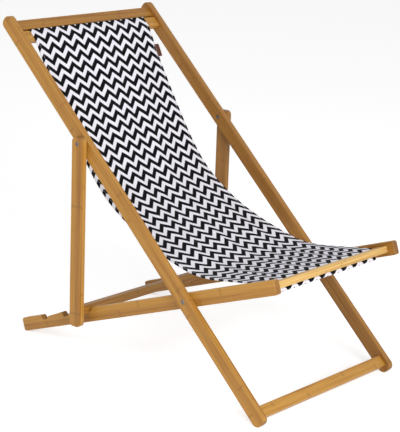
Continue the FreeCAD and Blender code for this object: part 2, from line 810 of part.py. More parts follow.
def build_sling():
    """Sling cloth with its two hems, and the places of the hem dowels."""
    pieces = sling_line()
    head_path, head_hem = slot_turn(along_main, value(TOP_SLING_BAR), 1)
    front_path, front_hem = slot_turn(along_seat, value(FRONT_SLING_BAR), -1)
    faces = strip_faces(pieces + [over_top_bar()] + head_path + front_path)
    width = value(SLING_WIDTH)
    across = FreeCAD.Vector(width, 0, 0)
    start = FreeCAD.Vector(-width / 2, 0, 0)
    solids = [face.extrude(across).translated(start) for face in faces]
    inner = size("hem_dowel_radius") + size("hem_dowel_fit")
    hems = []
    for hem in (head_hem, front_hem):
        centre = FreeCAD.Vector(-width / 2, hem[0], hem[1])
        hems.append(ring(inner + size("sling_thickness"), inner, width, centre,
                         FreeCAD.Vector(1, 0, 0)))
    cloth = solids[0].multiFuse(solids[1:] + hems).removeSplitter()
    feature = doc.addObject("Part::Feature", "sling_fabric")
    feature.Label = "sling_fabric"
    feature.Shape = cloth
    feature.Placement = FreeCAD.Placement()
    return feature, head_hem, front_hem


def hem_dowel(label, place):
    """Round rod inside a hem, as long as the sling is wide."""
    rod = doc.addObject("Part::Cylinder", label)
    rod.Label = label
    rod.setExpression("Radius", "Sizes.hem_dowel_radius")
    rod.setExpression("Height", SLING_WIDTH)
    rod.Placement = FreeCAD.Placement(
        FreeCAD.Vector(-value(SLING_WIDTH) / 2, place[0], place[1]),
        FreeCAD.Rotation(FreeCAD.Vector(0, 0, 1), FreeCAD.Vector(1, 0, 0)))
    return rod


def build_tab():
    """Folded label tab, sewn to the sling's right edge near the head."""
    pieces = sling_line()
    start, _, end = pieces[1]
    ahead = unit((end[0] - start[0], end[1] - start[1]))
    top, _ = hang_points()
    place = add(start, ahead, size("tab_from_bar") - math.dist(top, start))
    across = FreeCAD.Vector(1, 0, 0)
    along = FreeCAD.Vector(0, ahead[0], ahead[1])
    tab = doc.addObject("Part::Box", "label_tab")
    tab.Label = "label_tab"
    tab.setExpression("Length", "Sizes.tab_length")
    tab.setExpression("Width", "Sizes.tab_reach")
    tab.setExpression("Height", "Sizes.tab_thickness")
    normal = along.cross(across)
    corner = (FreeCAD.Vector(value(SLING_WIDTH) / 2, place[0], place[1])
              - normal * (size("tab_thickness") / 2))
    tab.Placement = axes_placement(along, across, normal, corner)
    return tab


nodes = []

for name in SIDES:
    nodes.append(main_rail(name))
nodes.append(cross_bar("top_crossbar", along_main(value(TOP_BAR)), MAIN_ANGLE, MAIN_INNER))
nodes.append(cross_bar("top_sling_bar", along_main(value(TOP_SLING_BAR)), MAIN_ANGLE,
                       MAIN_INNER))
nodes.append(cross_bar("bottom_stretcher", along_main(value(STRETCHER)), MAIN_ANGLE,
                       MAIN_INNER))
nodes.append(dowel_group("main_frame_dowels",
                         [along_main(value(TOP_BAR)), along_main(value(TOP_SLING_BAR)),
                          along_main(value(STRETCHER))], value(MAIN_INNER), MAIN_ANGLE))

for name in SIDES:
    nodes.append(seat_rail(name))
nodes.append(cross_bar("front_bar", along_seat(value(FRONT_BAR)), SEAT_ANGLE, SEAT_INNER))
nodes.append(cross_bar("front_sling_bar", along_seat(value(FRONT_SLING_BAR)), SEAT_ANGLE,
                       SEAT_INNER))
nodes.append(dowel_group("seat_frame_dowels",
                         [along_seat(value(FRONT_BAR)), along_seat(value(FRONT_SLING_BAR))],
                         value(SEAT_INNER), SEAT_ANGLE))

for name in SIDES:
    nodes.append(prop_strut(name))
nodes.append(cross_bar("prop_crossbar", prop_bar_centre(), STRUT_ANGLE, PROP_INNER,
                       "Sizes.prop_bar_height", "Sizes.prop_bar_depth", (0.0,)))
nodes.append(dowel_group("prop_frame_dowels", [prop_bar_centre()], value(PROP_INNER),
                         STRUT_ANGLE, (0.0,)))

for pivot_name, place, planes in (
        ("seat_pivot", PIVOT, (MAIN_OUTER, MAIN_INNER, SEAT_INNER)),
        ("prop_pivot", PROP_PIVOT, (PROP_OUTER, PROP_INNER, MAIN_INNER))):
    distances = [value(item) for item in planes]
    for kind, solids in zip(("bolts", "washers", "nuts"), pivot_set(place, *distances)):
        nodes.append(joined(f"{pivot_name}_{kind}", solids))

sling, top_hem, front_hem = build_sling()
nodes.append(sling)
nodes.append(hem_dowel("top_hem_dowel", top_hem))
nodes.append(hem_dowel("front_hem_dowel", front_hem))
nodes.append(build_tab())

doc.recompute()

for item in doc.Objects:
    if {"Invalid", "Error"} & set(item.State):
        raise ValueError(f"{item.Label} failed: {item.State}")
for node in nodes:
    if node.Shape.isNull() or not node.Shape.isValid():
        raise ValueError(f"{node.Label} has no valid shape")

os.makedirs("parts", exist_ok=True)
for node in nodes:
    node.Shape.exportStep(f"parts/{node.Label}.step")

whole = Part.makeCompound([node.Shape for node in nodes])
print("nodes", len(nodes), "solids", len(whole.Solids))
print("box", [round(v, 2) for v in (whole.BoundBox.XMin, whole.BoundBox.XMax,
                                    whole.BoundBox.YMin, whole.BoundBox.YMax,
                                    whole.BoundBox.ZMin, whole.BoundBox.ZMax)])
print("angles: opening", round(math.degrees(OPENING), 3),
      "main", round(math.degrees(MAIN_ANGLE), 3), "seat", round(math.degrees(SEAT_ANGLE), 3),
      "strut", round(math.degrees(STRUT_ANGLE), 3), "lean", round(math.degrees(LEAN), 3))
print("seat pivot", [round(v, 3) for v in PIVOT])
print("prop pivot", [round(v, 3) for v in PROP_PIVOT])
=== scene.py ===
# %% [markdown]
# A folding deck chair in strip bamboo with a printed sling. The boards, bolts and dowels come
# from the fixed frame with their real sizes. This lesson gives them their finish, hangs the
# cloth between the two sling bars, sews its hems, and sets up the camera and the light.

# %% Load the frame
import json
import math

import bpy
from mathutils import Euler, Matrix, Vector


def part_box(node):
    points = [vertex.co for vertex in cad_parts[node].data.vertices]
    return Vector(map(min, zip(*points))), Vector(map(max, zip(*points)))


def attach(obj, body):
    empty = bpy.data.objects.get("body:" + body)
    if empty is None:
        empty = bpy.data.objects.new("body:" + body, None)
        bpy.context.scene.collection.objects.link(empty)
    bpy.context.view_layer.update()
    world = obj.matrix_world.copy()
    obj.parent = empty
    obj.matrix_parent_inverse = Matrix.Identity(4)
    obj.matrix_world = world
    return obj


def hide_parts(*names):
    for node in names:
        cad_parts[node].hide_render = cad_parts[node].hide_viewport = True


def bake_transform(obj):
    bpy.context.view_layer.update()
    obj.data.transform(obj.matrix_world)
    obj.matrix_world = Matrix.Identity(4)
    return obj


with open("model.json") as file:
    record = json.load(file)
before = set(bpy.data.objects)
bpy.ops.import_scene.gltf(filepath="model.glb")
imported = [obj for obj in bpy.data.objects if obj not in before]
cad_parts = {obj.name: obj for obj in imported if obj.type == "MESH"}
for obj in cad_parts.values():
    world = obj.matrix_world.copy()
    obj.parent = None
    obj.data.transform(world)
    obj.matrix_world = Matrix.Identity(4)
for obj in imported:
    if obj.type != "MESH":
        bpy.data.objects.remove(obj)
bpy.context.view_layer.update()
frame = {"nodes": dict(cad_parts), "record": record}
MM = 0.001
print("nodes:", len(frame["nodes"]))

# %% [markdown]
# The photograph was taken from the chair's front left, a little above it, with a long lens and
# the camera tilted a few degrees. A camera can be placed by eye, but one fitted to the edges of
# the rails comes closer, so its place and its three angles are written as the fit gave them.

# %% Camera
CAMERA_PLACE = Vector((-2.8571, -2.4457, 1.4547))
CAMERA_HEADING = math.radians(49.34859)
CAMERA_DIP = math.radians(15.47868)
CAMERA_ROLL = math.radians(3.25949)
SENSOR_WIDTH = 36.0
LENS_LENGTH = 134.46
LENS_SHIFT = (0.01083, -0.04333)


def camera_axes(heading, dip, roll):
    """Right, up and backward directions of a camera that looks along heading and down by dip."""
    ahead = Vector((
        math.sin(heading) * math.cos(dip),
        math.cos(heading) * math.cos(dip),
        -math.sin(dip),
    ))
    level_right = Vector((math.cos(heading), -math.sin(heading), 0.0))
    level_up = level_right.cross(ahead)
    right = math.cos(roll) * level_right + math.sin(roll) * level_up
    up = math.cos(roll) * level_up - math.sin(roll) * level_right
    return right, up, -ahead


def make_camera():
    """The scene's camera, at the photograph's place and angle."""
    lens = bpy.data.cameras.new("photo_camera")
    lens.sensor_fit = "HORIZONTAL"
    lens.sensor_width = SENSOR_WIDTH
    lens.lens = LENS_LENGTH
    lens.shift_x, lens.shift_y = LENS_SHIFT
    camera = bpy.data.objects.new("photo_camera", lens)
    bpy.context.scene.collection.objects.link(camera)
    axes = camera_axes(CAMERA_HEADING, CAMERA_DIP, CAMERA_ROLL)
    turn = Matrix(axes).transposed().to_4x4()
    camera.matrix_world = Matrix.Translation(CAMERA_PLACE) @ turn
    bpy.context.scene.camera = camera


make_camera()
print("camera distance, m:", round(CAMERA_PLACE.length, 3))

# %% [markdown]
# Colours are written as the eye reads them, as hex values, but a shader adds light, which needs
# linear numbers. One function turns the first into the second. Another adds a node to a tree,
# with its settings and its links, so that every material below reads as a list of steps. A
# socket is told by its name, or by its number from the top where names repeat: a Map Range
# node takes its value at 0, the span it reads at 1 and 2 and the span it gives at 3 and 4, and
# a colour Mix takes its factor at 0 and its colours at 6 and 7, and gives the colour at 2.

# %% Helpers for colours and nodes
SRGB_KNEE = 0.04045
SRGB_SLOPE = 12.92
SRGB_OFFSET = 0.055
SRGB_POWER = 2.4
PLAIN_WHITE = (1.0, 1.0, 1.0, 1.0)


def linear(hex_colour):
    """Linear RGBA of an sRGB colour such as #b0844a."""
    channels = []
    for start in (1, 3, 5):
        share = int(hex_colour[start:start + 2], 16) / 255
        if share <= SRGB_KNEE:
            channels.append(share / SRGB_SLOPE)
        else:
            channels.append(((share + SRGB_OFFSET) / (1 + SRGB_OFFSET)) ** SRGB_POWER)
    return (*channels, 1.0)


def add_node(tree, kind, inputs=None, **settings):
    """A new node with its settings. A node or socket among the inputs is linked, a value is set."""
    made = tree.nodes.new(kind)
    for name, setting in settings.items():
        setattr(made, name, setting)
    for key, source in (inputs or {}).items():
        if isinstance(source, bpy.types.Node):
            source = source.outputs[0]
        if isinstance(source, bpy.types.NodeSocket):
            tree.links.new(source, made.inputs[key])
        else:
            made.inputs[key].default_value = source
    return made


def new_material(name, **shader_values):
    """A node material with its shader's own sockets set. Returns material, tree and shader."""
    material = bpy.data.materials.new(name)
    material.use_nodes = True
    tree = material.node_tree
    shader = tree.nodes["Principled BSDF"]
    for socket, setting in shader_values.items():
        shader.inputs[socket.replace("_", " ")].default_value = setting
    return material, tree, shader

# %% [markdown]
# A product photograph has light from all sides and one soft lamp that gives the shapes their
# bright and dark sides. The world gives the first, two wide lamps the second. The backdrop is
# white to the camera alone: the floor itself stays matt and keeps the chair's shadow.

# %% Floor and light
FLOOR_HALF = 14.0
FLOOR_LIFT = 0.50
PAPER_WHITE = "#f4f4f4"
PAPER_ROUGHNESS = 0.95
WORLD_STRENGTH = 0.46
KEY_PLACE = Vector((-1.7, -3.4, 1.8))
KEY_SIZE = 1.9
KEY_POWER = 110.0
FILL_PLACE = Vector((-2.6, 0.8, 2.4))
FILL_SIZE = 2.0
FILL_POWER = 24.0
AIM = Vector((0.0, 0.0, 0.4))


def make_floor():
    """A wide pale floor that the camera sees as white, darker where the chair shades it."""
    corners = [(-1, -1), (1, -1), (1, 1), (-1, 1)]
    points = [(FLOOR_HALF * x, FLOOR_HALF * y, 0.0) for x, y in corners]
    mesh = bpy.data.meshes.new("studio_floor")
    mesh.from_pydata(points, [], [(0, 1, 2, 3)])
    floor = bpy.data.objects.new("studio_floor", mesh)
    bpy.context.scene.collection.objects.link(floor)
    material, tree, shader = new_material("matt white paper", Roughness=PAPER_ROUGHNESS,
                                          Specular_IOR_Level=0.0)
    shader.inputs["Base Color"].default_value = linear(PAPER_WHITE)
    ray = add_node(tree, "ShaderNodeLightPath").outputs
    rays = {0: ray["Is Camera Ray"], 1: ray["Is Glossy Ray"]}
    seen = add_node(tree, "ShaderNodeMath", rays, operation="MAXIMUM")
    lift = add_node(tree, "ShaderNodeMath", {0: seen, 1: FLOOR_LIFT}, operation="MULTIPLY")
    shader.inputs["Emission Color"].default_value = PLAIN_WHITE
    tree.links.new(lift.outputs[0], shader.inputs["Emission Strength"])
    mesh.materials.append(material)


def make_world():
    """Even light from all sides, and plain white where the camera looks past the floor."""
    world = bpy.data.worlds.new("white_room")
    bpy.context.scene.world = world
    world.use_nodes = True
    tree = world.node_tree
    ray = add_node(tree, "ShaderNodeLightPath").outputs
    rays = {0: ray["Is Camera Ray"], 1: ray["Is Glossy Ray"]}
    seen = add_node(tree, "ShaderNodeMath", rays, operation="MAXIMUM")
    strength = add_node(tree, "ShaderNodeMapRange", {0: seen, 3: WORLD_STRENGTH, 4: 1.0})
    tree.links.new(strength.outputs[0], tree.nodes["Background"].inputs["Strength"])
    tree.nodes["Background"].inputs["Color"].default_value = PLAIN_WHITE


def make_lamp(name, place, size, power):
    """A square soft lamp that looks at the chair's middle."""
    light = bpy.data.lights.new(name, "AREA")
    light.size = size
    light.energy = power
    lamp = bpy.data.objects.new(name, light)
    bpy.context.scene.collection.objects.link(lamp)
    lamp.location = place
    lamp.rotation_euler = (AIM - place).to_track_quat("-Z", "Y").to_euler()


make_floor()
make_world()
make_lamp("key_lamp", KEY_PLACE, KEY_SIZE, KEY_POWER)
make_lamp("fill_lamp", FILL_PLACE, FILL_SIZE, FILL_POWER)
bpy.context.scene.view_settings.view_transform = "Standard"

# %% [markdown]
# The chair's own lines place everything else. Each frame has rails that run at one slope, and a
# point on a frame is told by how far along the rails it lies from the seat pivot, its reach,
# and how far above their middle line, its rise. The pivots are read from the frame's joints.

# %% Places on the frames
JOINTS = {joint["name"]: joint for joint in frame["record"]["behaviour"]["joints"]}
SEAT_PIVOT = Vector(JOINTS["seat_fold"]["pos_m"])
PROP_PIVOT = Vector(JOINTS["prop_fold"]["pos_m"])
MAIN_SLOPE = math.atan2(PROP_PIVOT.z - SEAT_PIVOT.z, PROP_PIVOT.y - SEAT_PIVOT.y)


def middle_of(node):
    """Middle of a node's box."""
    low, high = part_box(node)
    return (Vector(low) + Vector(high)) / 2


def slope_between(first, second):
    """Slope in the Y-Z plane of the line from one point to another."""
    run = second - first
    return math.atan2(run.z, run.y)


SEAT_SLOPE = slope_between(middle_of("front_bar"), middle_of("front_sling_bar"))
STRUT_SLOPE = slope_between(PROP_PIVOT, middle_of("prop_strut_left"))


def on_frame(slope, reach, rise):
    """(y, z) in metres of a point on a frame, from its reach and rise in millimetres."""
    along = (math.cos(slope), math.sin(slope))
    y = SEAT_PIVOT.y + (reach * along[0] - rise * along[1]) * MM
    z = SEAT_PIVOT.z + (reach * along[1] + rise * along[0]) * MM
    return (y, z)


def reach_of(node, slope):
    """Reach in millimetres of a node's middle along a frame of that slope."""
    run = middle_of(node) - SEAT_PIVOT
    return (run.y * math.cos(slope) + run.z * math.sin(slope)) / MM


print("slopes, degrees: main", round(math.degrees(MAIN_SLOPE), 2), "seat",
      round(math.degrees(SEAT_SLOPE), 2), "strut", round(math.degrees(STRUT_SLOPE), 2))

# %% [markdown]
# Strip bamboo: stalks are split into strips about 20 mm wide and 6 mm thick, planed, and glued
# side by side and in layers into boards. So a wide face shows two strips with a fine glue line
# between, a narrow edge shows three layers, and each strip has its own tint, its own grain and,
# every 28 cm or so, a darker band where the stalk had a node. The board is then sanded, oiled
# and rubbed, which leaves a satin skin. Cut ends and notches drink more oil and turn darker, and
# the dark on faces across the fibres is also painted shade inside the notches.
#
# The pattern needs the board's own directions, so a Mapping node turns the object's coordinates
# until one axis runs along the board. The colour is built in layers, as in the table: what
# drives a layer, the span of it that counts, the layer's strength at both ends, and its tone.
# The rails of the far side and the top bar get a deeper tone, which is painted shade, because
# the faces that they show are darker in the photograph than the light here makes them. The front
# bar gets a paler tone, which is painted light on its upturned front face.

# %% Strip bamboo
STRIP_WIDTH = 19.5 * MM
LAYER_DEPTH = 6.3 * MM
NODE_SPACING = 285 * MM
NODE_BAND = 5.0 * MM
NODE_DARKNESS = 0.38
NODE_DRIFT = 0.9
GLUE_LINE = 0.35 * MM
GLUE_DARKNESS = 0.30
LAYER_LINE = 0.12
LAYER_DARKNESS = 0.55
# Faces across a rail's fibres are darkened: end grain that drinks oil, and painted shade inside the
# notches.
END_GRAIN_FROM = 0.55
END_GRAIN_FULL = 0.95
END_GRAIN_AND_NOTCH_SHADE_DARKNESS = 0.6
FIBRE_GRAIN = (70 * MM, 1.1 * MM, 1.1 * MM)
FIBRE_DETAIL = 3.0
STREAK_GRAIN = (240 * MM, 5.5 * MM, 5.5 * MM)
STREAK_DETAIL = 2.0
PATTERN_SPREAD = 40.0
WOOD_IOR = 1.5
WOOD_GLOSS = 0.38
OIL_COAT = 0.06
OIL_ROUGHNESS = 0.35
FIBRE_ROUGHNESS = (0.52, 0.38)
FIBRE_BUMP = 0.25
FIBRE_HEIGHT = 0.25 * MM
NOISE_SPAN = (0.3, 0.7)
WIDE_SPAN = (0.2, 0.8)
# Colour sets for a board's tone. The deep set also serves as painted shade and the pale set as
# painted light, where the boards table below gives them.
BAMBOO_TONES_AND_PAINTED_SHADING = {
    "pale": ("#e2bc76", "#d2a65c", "#ad7c38"),
    "middle": ("#c89543", "#b07c30", "#8b5719"),
    "deep": ("#ad7930", "#966522", "#734711"),
}
# Colour of the node bands, and of the dark on faces across the fibres, which is also painted shade
# in the notches.
BAMBOO_NODE_AND_NOTCH_SHADE = "#6f431b"
STRIP_LAYERS = [
    ("fibre", NOISE_SPAN, (0.0, 1.0), "pale"),
    ("streak", (0.46, 0.74), (0.0, 0.8), "deep"),
    ("chance", (0.0, 0.5), (0.5, 0.0), "deep"),
    ("chance", (0.5, 1.0), (0.0, 0.5), "pale"),
]


def board_axes(tree, centre, slope, runs_across):
    """Sockets for the places along, across and through a board, from its middle."""
    turn = Euler((-slope, 0.0, 0.0)).to_matrix()
    shift = -(turn @ centre)
    coordinates = add_node(tree, "ShaderNodeTexCoord").outputs["Object"]
    inputs = {"Vector": coordinates, "Rotation": (-slope, 0.0, 0.0), "Location": tuple(shift)}
    mapping = add_node(tree, "ShaderNodeMapping", inputs)
    split = add_node(tree, "ShaderNodeSeparateXYZ", {0: mapping}).outputs
    if runs_across:
        return split["X"], split["Y"], split["Z"]
    return split["Y"], split["Z"], split["X"]


def stretched_noise(tree, axes, offset, grain, detail):
    """Noise drawn out along the board: grain is its size along, across and through."""
    parts = {}
    for index, (axis, size) in enumerate(zip(axes, grain)):
        parts[index] = add_node(tree, "ShaderNodeMath", {0: axis, 1: size}, operation="DIVIDE")
    joined = add_node(tree, "ShaderNodeCombineXYZ", parts)
    moved = add_node(tree, "ShaderNodeVectorMath", {0: joined, 1: offset}, operation="ADD")
    inputs = {"Vector": moved, "Scale": 1.0, "Detail": detail}
    return add_node(tree, "ShaderNodeTexNoise", inputs)


def strip_chances(tree, across, layer_place, seed):
    """Sockets of a white noise that has one value and one colour for each strip of a board."""
    strips = add_node(tree, "ShaderNodeMath", {0: across, 1: STRIP_WIDTH}, operation="DIVIDE")
    strip = add_node(tree, "ShaderNodeMath", {0: strips}, operation="FLOOR")
    layer = add_node(tree, "ShaderNodeMath", {0: layer_place}, operation="FLOOR")
    place = add_node(tree, "ShaderNodeCombineXYZ", {0: strip, 1: layer, 2: float(seed)})
    return add_node(tree, "ShaderNodeTexWhiteNoise", {"Vector": place}).outputs


def node_bands(tree, along, chance, streak):
    """Strength of the dark bands at the stalk's nodes, at another place on each strip."""
    drift = add_node(tree, "ShaderNodeMath", {0: chance, 1: NODE_DRIFT}, operation="MULTIPLY")
    place = add_node(tree, "ShaderNodeMath", {0: along, 1: drift}, operation="ADD")
    wobble = add_node(tree, "ShaderNodeMapRange", {0: streak, 3: -NODE_BAND, 4: NODE_BAND})
    place = add_node(tree, "ShaderNodeMath", {0: place, 1: wobble}, operation="ADD")
    from_node = add_node(tree, "ShaderNodeMath", {0: place, 1: NODE_SPACING / 2},
                         operation="PINGPONG")
    inputs = {0: from_node, 2: NODE_BAND, 3: NODE_DARKNESS, 4: 0.0}
    return add_node(tree, "ShaderNodeMapRange", inputs)


def glue_lines(tree, across, layer_place):
    """Strength of the glue lines between the strips and between the layers."""
    lines = {}
    for index, (place, half, line, darkness) in enumerate((
            (across, STRIP_WIDTH / 2, GLUE_LINE, GLUE_DARKNESS),
            (layer_place, 0.5, LAYER_LINE, LAYER_DARKNESS))):
        to_line = add_node(tree, "ShaderNodeMath", {0: place, 1: half}, operation="PINGPONG")
        inputs = {0: to_line, 2: line, 3: darkness, 4: 0.0}
        lines[index] = add_node(tree, "ShaderNodeMapRange", inputs)
    return add_node(tree, "ShaderNodeMath", lines, operation="MAXIMUM")


def end_grain_and_notch_shade(tree, slope):
    """Strength of the dark on faces that cut straight across a rail's fibres: darker end grain, and
    painted shade inside the notches.
    """
    normal = add_node(tree, "ShaderNodeTexCoord").outputs["Normal"]
    along = (0.0, math.cos(slope), math.sin(slope))
    facing = add_node(tree, "ShaderNodeVectorMath", {0: normal, 1: along},
                      operation="DOT_PRODUCT").outputs["Value"]
    cut = add_node(tree, "ShaderNodeMath", {0: facing}, operation="ABSOLUTE")
    inputs = {0: cut, 1: END_GRAIN_FROM, 2: END_GRAIN_FULL, 3: 0.0, 4: END_GRAIN_AND_NOTCH_SHADE_DARKNESS}
    return add_node(tree, "ShaderNodeMapRange", inputs)


def strip_bamboo(name, centre, slope, runs_across, tone_and_painted_shading, seed):
    """Satin oiled strip bamboo for a board through centre, at that slope or across the chair."""
    material, tree, shader = new_material(name, IOR=WOOD_IOR, Specular_IOR_Level=WOOD_GLOSS,
                                          Coat_Weight=OIL_COAT, Coat_Roughness=OIL_ROUGHNESS)
    # The tone set carries painted shade for the far side's boards and the top bar, and painted light
    # for the front bar.
    tones = dict(zip(("pale", "mid", "deep"), map(linear, BAMBOO_TONES_AND_PAINTED_SHADING[tone_and_painted_shading])))
    along, across, through = board_axes(tree, centre, slope, runs_across)
    layers = add_node(tree, "ShaderNodeMath", {0: through, 1: LAYER_DEPTH}, operation="DIVIDE")
    layer_place = add_node(tree, "ShaderNodeMath", {0: layers, 1: 0.5}, operation="ADD")
    noise = strip_chances(tree, across, layer_place, seed)
    offset = add_node(tree, "ShaderNodeVectorMath", {0: noise["Color"], "Scale": PATTERN_SPREAD},
                      operation="SCALE")
    axes = (along, across, through)
    fibre = stretched_noise(tree, axes, offset, FIBRE_GRAIN, FIBRE_DETAIL)
    streak = stretched_noise(tree, axes, offset, STREAK_GRAIN, STREAK_DETAIL)
    drives = {"fibre": fibre, "streak": streak, "chance": noise["Value"]}
    covers = []
    for drive, (low, high), (at_low, at_high), shade in STRIP_LAYERS:
        inputs = {0: drives[drive], 1: low, 2: high, 3: at_low, 4: at_high}
        covers.append((add_node(tree, "ShaderNodeMapRange", inputs), tones[shade]))
    covers.append((node_bands(tree, along, noise["Value"], streak), linear(BAMBOO_NODE_AND_NOTCH_SHADE)))
    glue = glue_lines(tree, across, layer_place)
    covers.append((glue, tones["deep"]))
    # Rails only: faces across their fibres darken as end grain and as painted shade in the notches.
    if not runs_across:
        covers.append((end_grain_and_notch_shade(tree, slope), linear(BAMBOO_NODE_AND_NOTCH_SHADE)))
    body = tones["mid"]
    for strength, colour in covers:
        inputs = {0: strength, 6: body, 7: colour}
        body = add_node(tree, "ShaderNodeMix", inputs, data_type="RGBA").outputs[2]
    tree.links.new(body, shader.inputs["Base Color"])
    inputs = {0: fibre, 1: WIDE_SPAN[0], 2: WIDE_SPAN[1],
              3: FIBRE_ROUGHNESS[0], 4: FIBRE_ROUGHNESS[1]}
    rough = add_node(tree, "ShaderNodeMapRange", inputs)
    tree.links.new(rough.outputs[0], shader.inputs["Roughness"])
    height = add_node(tree, "ShaderNodeMath", {0: fibre, 1: glue}, operation="SUBTRACT")
    inputs = {"Height": height, "Strength": FIBRE_BUMP, "Distance": FIBRE_HEIGHT}
    bump = add_node(tree, "ShaderNodeBump", inputs)
    tree.links.new(bump.outputs[0], shader.inputs["Normal"])
    return material


def finish_node(node, material):
    """Gives one CAD node its material, in every slot that its mesh has."""
    mesh = frame["nodes"][node].data
    if not mesh.materials:
        mesh.materials.append(material)
    for index in range(len(mesh.materials)):
        mesh.materials[index] = material


# Third column: the deep tone of the far side's rails and strut and of the top bar is painted shade,
# and the pale tone of the front bar is painted light.
BOARDS = {
    "main_rail_left": (MAIN_SLOPE, False, "middle"),
    "main_rail_right": (MAIN_SLOPE, False, "deep"),
    "top_crossbar": (MAIN_SLOPE, True, "deep"),
    "top_sling_bar": (MAIN_SLOPE, True, "middle"),
    "bottom_stretcher": (MAIN_SLOPE, True, "middle"),
    "seat_rail_left": (SEAT_SLOPE, False, "middle"),
    "seat_rail_right": (SEAT_SLOPE, False, "deep"),
    "front_bar": (SEAT_SLOPE, True, "pale"),
    "front_sling_bar": (SEAT_SLOPE, True, "middle"),
    "prop_strut_left": (STRUT_SLOPE, False, "middle"),
    "prop_strut_right": (STRUT_SLOPE, False, "deep"),
    "prop_crossbar": (STRUT_SLOPE, True, "middle"),
}
for seed, (node, (slope, runs_across, tone_and_painted_shading)) in enumerate(BOARDS.items(), start=1):
    name = "satin oiled strip bamboo " + node.replace("_", " ")
    finish_node(node, strip_bamboo(name, middle_of(node), slope, runs_across, tone_and_painted_shading, seed))
print("bamboo boards finished:", len(BOARDS))

# %% [markdown]
# The rods and dowels inside the joints are turned beech: pale, even, with short fine flecks.
# They are nearly hidden, but their ends show beside the hems, so they get a plain grain along X.

# %% Turned beech
BEECH_FLECK = (9 * MM, 0.9 * MM, 0.9 * MM)
BEECH_DETAIL = 3.0
BEECH_OFFSET = (3.0, 1.0, 7.0)
BEECH_TONES = ("#c9a272", "#dcbb8c")
BEECH_ROUGHNESS = (0.62, 0.5)
BEECH_BUMP = 0.2
BEECH_HEIGHT = 0.1 * MM


def turned_beech():
    """Plain turned beech, dry and matt, with its grain along the rods."""
    material, tree, shader = new_material("turned beech", IOR=WOOD_IOR)
    coordinates = add_node(tree, "ShaderNodeTexCoord").outputs["Object"]
    split = add_node(tree, "ShaderNodeSeparateXYZ", {0: coordinates}).outputs
    axes = (split["X"], split["Y"], split["Z"])
    fleck = stretched_noise(tree, axes, BEECH_OFFSET, BEECH_FLECK, BEECH_DETAIL)
    low, high = NOISE_SPAN
    share = add_node(tree, "ShaderNodeMapRange", {0: fleck, 1: low, 2: high})
    inputs = {0: share, 6: linear(BEECH_TONES[0]), 7: linear(BEECH_TONES[1])}
    body = add_node(tree, "ShaderNodeMix", inputs, data_type="RGBA")
    tree.links.new(body.outputs[2], shader.inputs["Base Color"])
    inputs = {0: fleck, 1: WIDE_SPAN[0], 2: WIDE_SPAN[1],
              3: BEECH_ROUGHNESS[0], 4: BEECH_ROUGHNESS[1]}
    rough = add_node(tree, "ShaderNodeMapRange", inputs)
    tree.links.new(rough.outputs[0], shader.inputs["Roughness"])
    inputs = {"Height": fleck, "Strength": BEECH_BUMP, "Distance": BEECH_HEIGHT}
    bump = add_node(tree, "ShaderNodeBump", inputs)
    tree.links.new(bump.outputs[0], shader.inputs["Normal"])
    return material


BEECH = turned_beech()
for node in ("main_frame_dowels", "seat_frame_dowels", "prop_frame_dowels",
             "top_hem_dowel", "front_hem_dowel"):
    finish_node(node, BEECH)

# %% [markdown]
# Bolts, nuts and washers are steel with a thin zinc plating. Zinc is a grey metal with a soft
# sparkle and a slightly uneven, brushed gloss; where fingers and tools touched it, it dulls.

# %% Zinc-plated steel
ZINC_MOTTLE = 2.4 * MM
ZINC_MOTTLE_DETAIL = 3.0
ZINC_SCRATCH = 0.5 * MM
ZINC_SCRATCH_DETAIL = 2.0
ZINC_ROUGH_SPAN = (0.25, 0.75)
ZINC_BUMP = 0.15
ZINC_HEIGHT = 0.05 * MM


def zinc_plate(name, bright, dull, low_roughness, high_roughness):
    """Zinc-plated steel between two greys and two roughnesses."""
    material, tree, shader = new_material(name, Metallic=1.0)
    coordinates = add_node(tree, "ShaderNodeTexCoord").outputs["Object"]
    inputs = {"Vector": coordinates, "Scale": 1.0 / ZINC_MOTTLE, "Detail": ZINC_MOTTLE_DETAIL}
    mottle = add_node(tree, "ShaderNodeTexNoise", inputs)
    inputs = {"Vector": coordinates, "Scale": 1.0 / ZINC_SCRATCH, "Detail": ZINC_SCRATCH_DETAIL}
    scratch = add_node(tree, "ShaderNodeTexNoise", inputs)
    low, high = NOISE_SPAN
    share = add_node(tree, "ShaderNodeMapRange", {0: mottle, 1: low, 2: high})
    inputs = {0: share, 6: linear(dull), 7: linear(bright)}
    body = add_node(tree, "ShaderNodeMix", inputs, data_type="RGBA")
    tree.links.new(body.outputs[2], shader.inputs["Base Color"])
    low, high = ZINC_ROUGH_SPAN
    inputs = {0: mottle, 1: low, 2: high, 3: high_roughness, 4: low_roughness}
    rough = add_node(tree, "ShaderNodeMapRange", inputs)
    tree.links.new(rough.outputs[0], shader.inputs["Roughness"])
    inputs = {"Height": scratch, "Strength": ZINC_BUMP, "Distance": ZINC_HEIGHT}
    bump = add_node(tree, "ShaderNodeBump", inputs)
    tree.links.new(bump.outputs[0], shader.inputs["Normal"])
    return material


BOLT_ZINC = zinc_plate("bright zinc plated steel", "#9b9893", "#5f5c58", 0.24, 0.42)
WASHER_ZINC = zinc_plate("dull zinc plated steel", "#8f8c87", "#66635f", 0.34, 0.5)
for pivot in ("seat_pivot", "prop_pivot"):
    finish_node(pivot + "_bolts", BOLT_ZINC)
    finish_node(pivot + "_nuts", BOLT_ZINC)
    finish_node(pivot + "_washers", WASHER_ZINC)

# %% [markdown]
# The sling is one strip of cotton canvas with a hem at each end. A rod in the hem keeps it from
# slipping out of the slot between two bars. From the head's hem it comes up through the slot,
# turns over the sling bar, hangs in a deep curve and ends the same way at the front. A cloth
# simulation would need the canvas's own weight and stiffness, which a photograph doesn't tell,
# but it does tell the depth of the seat and the straight stretch of the back. So the curve is
# drawn through depths measured behind the straight line between the bars.

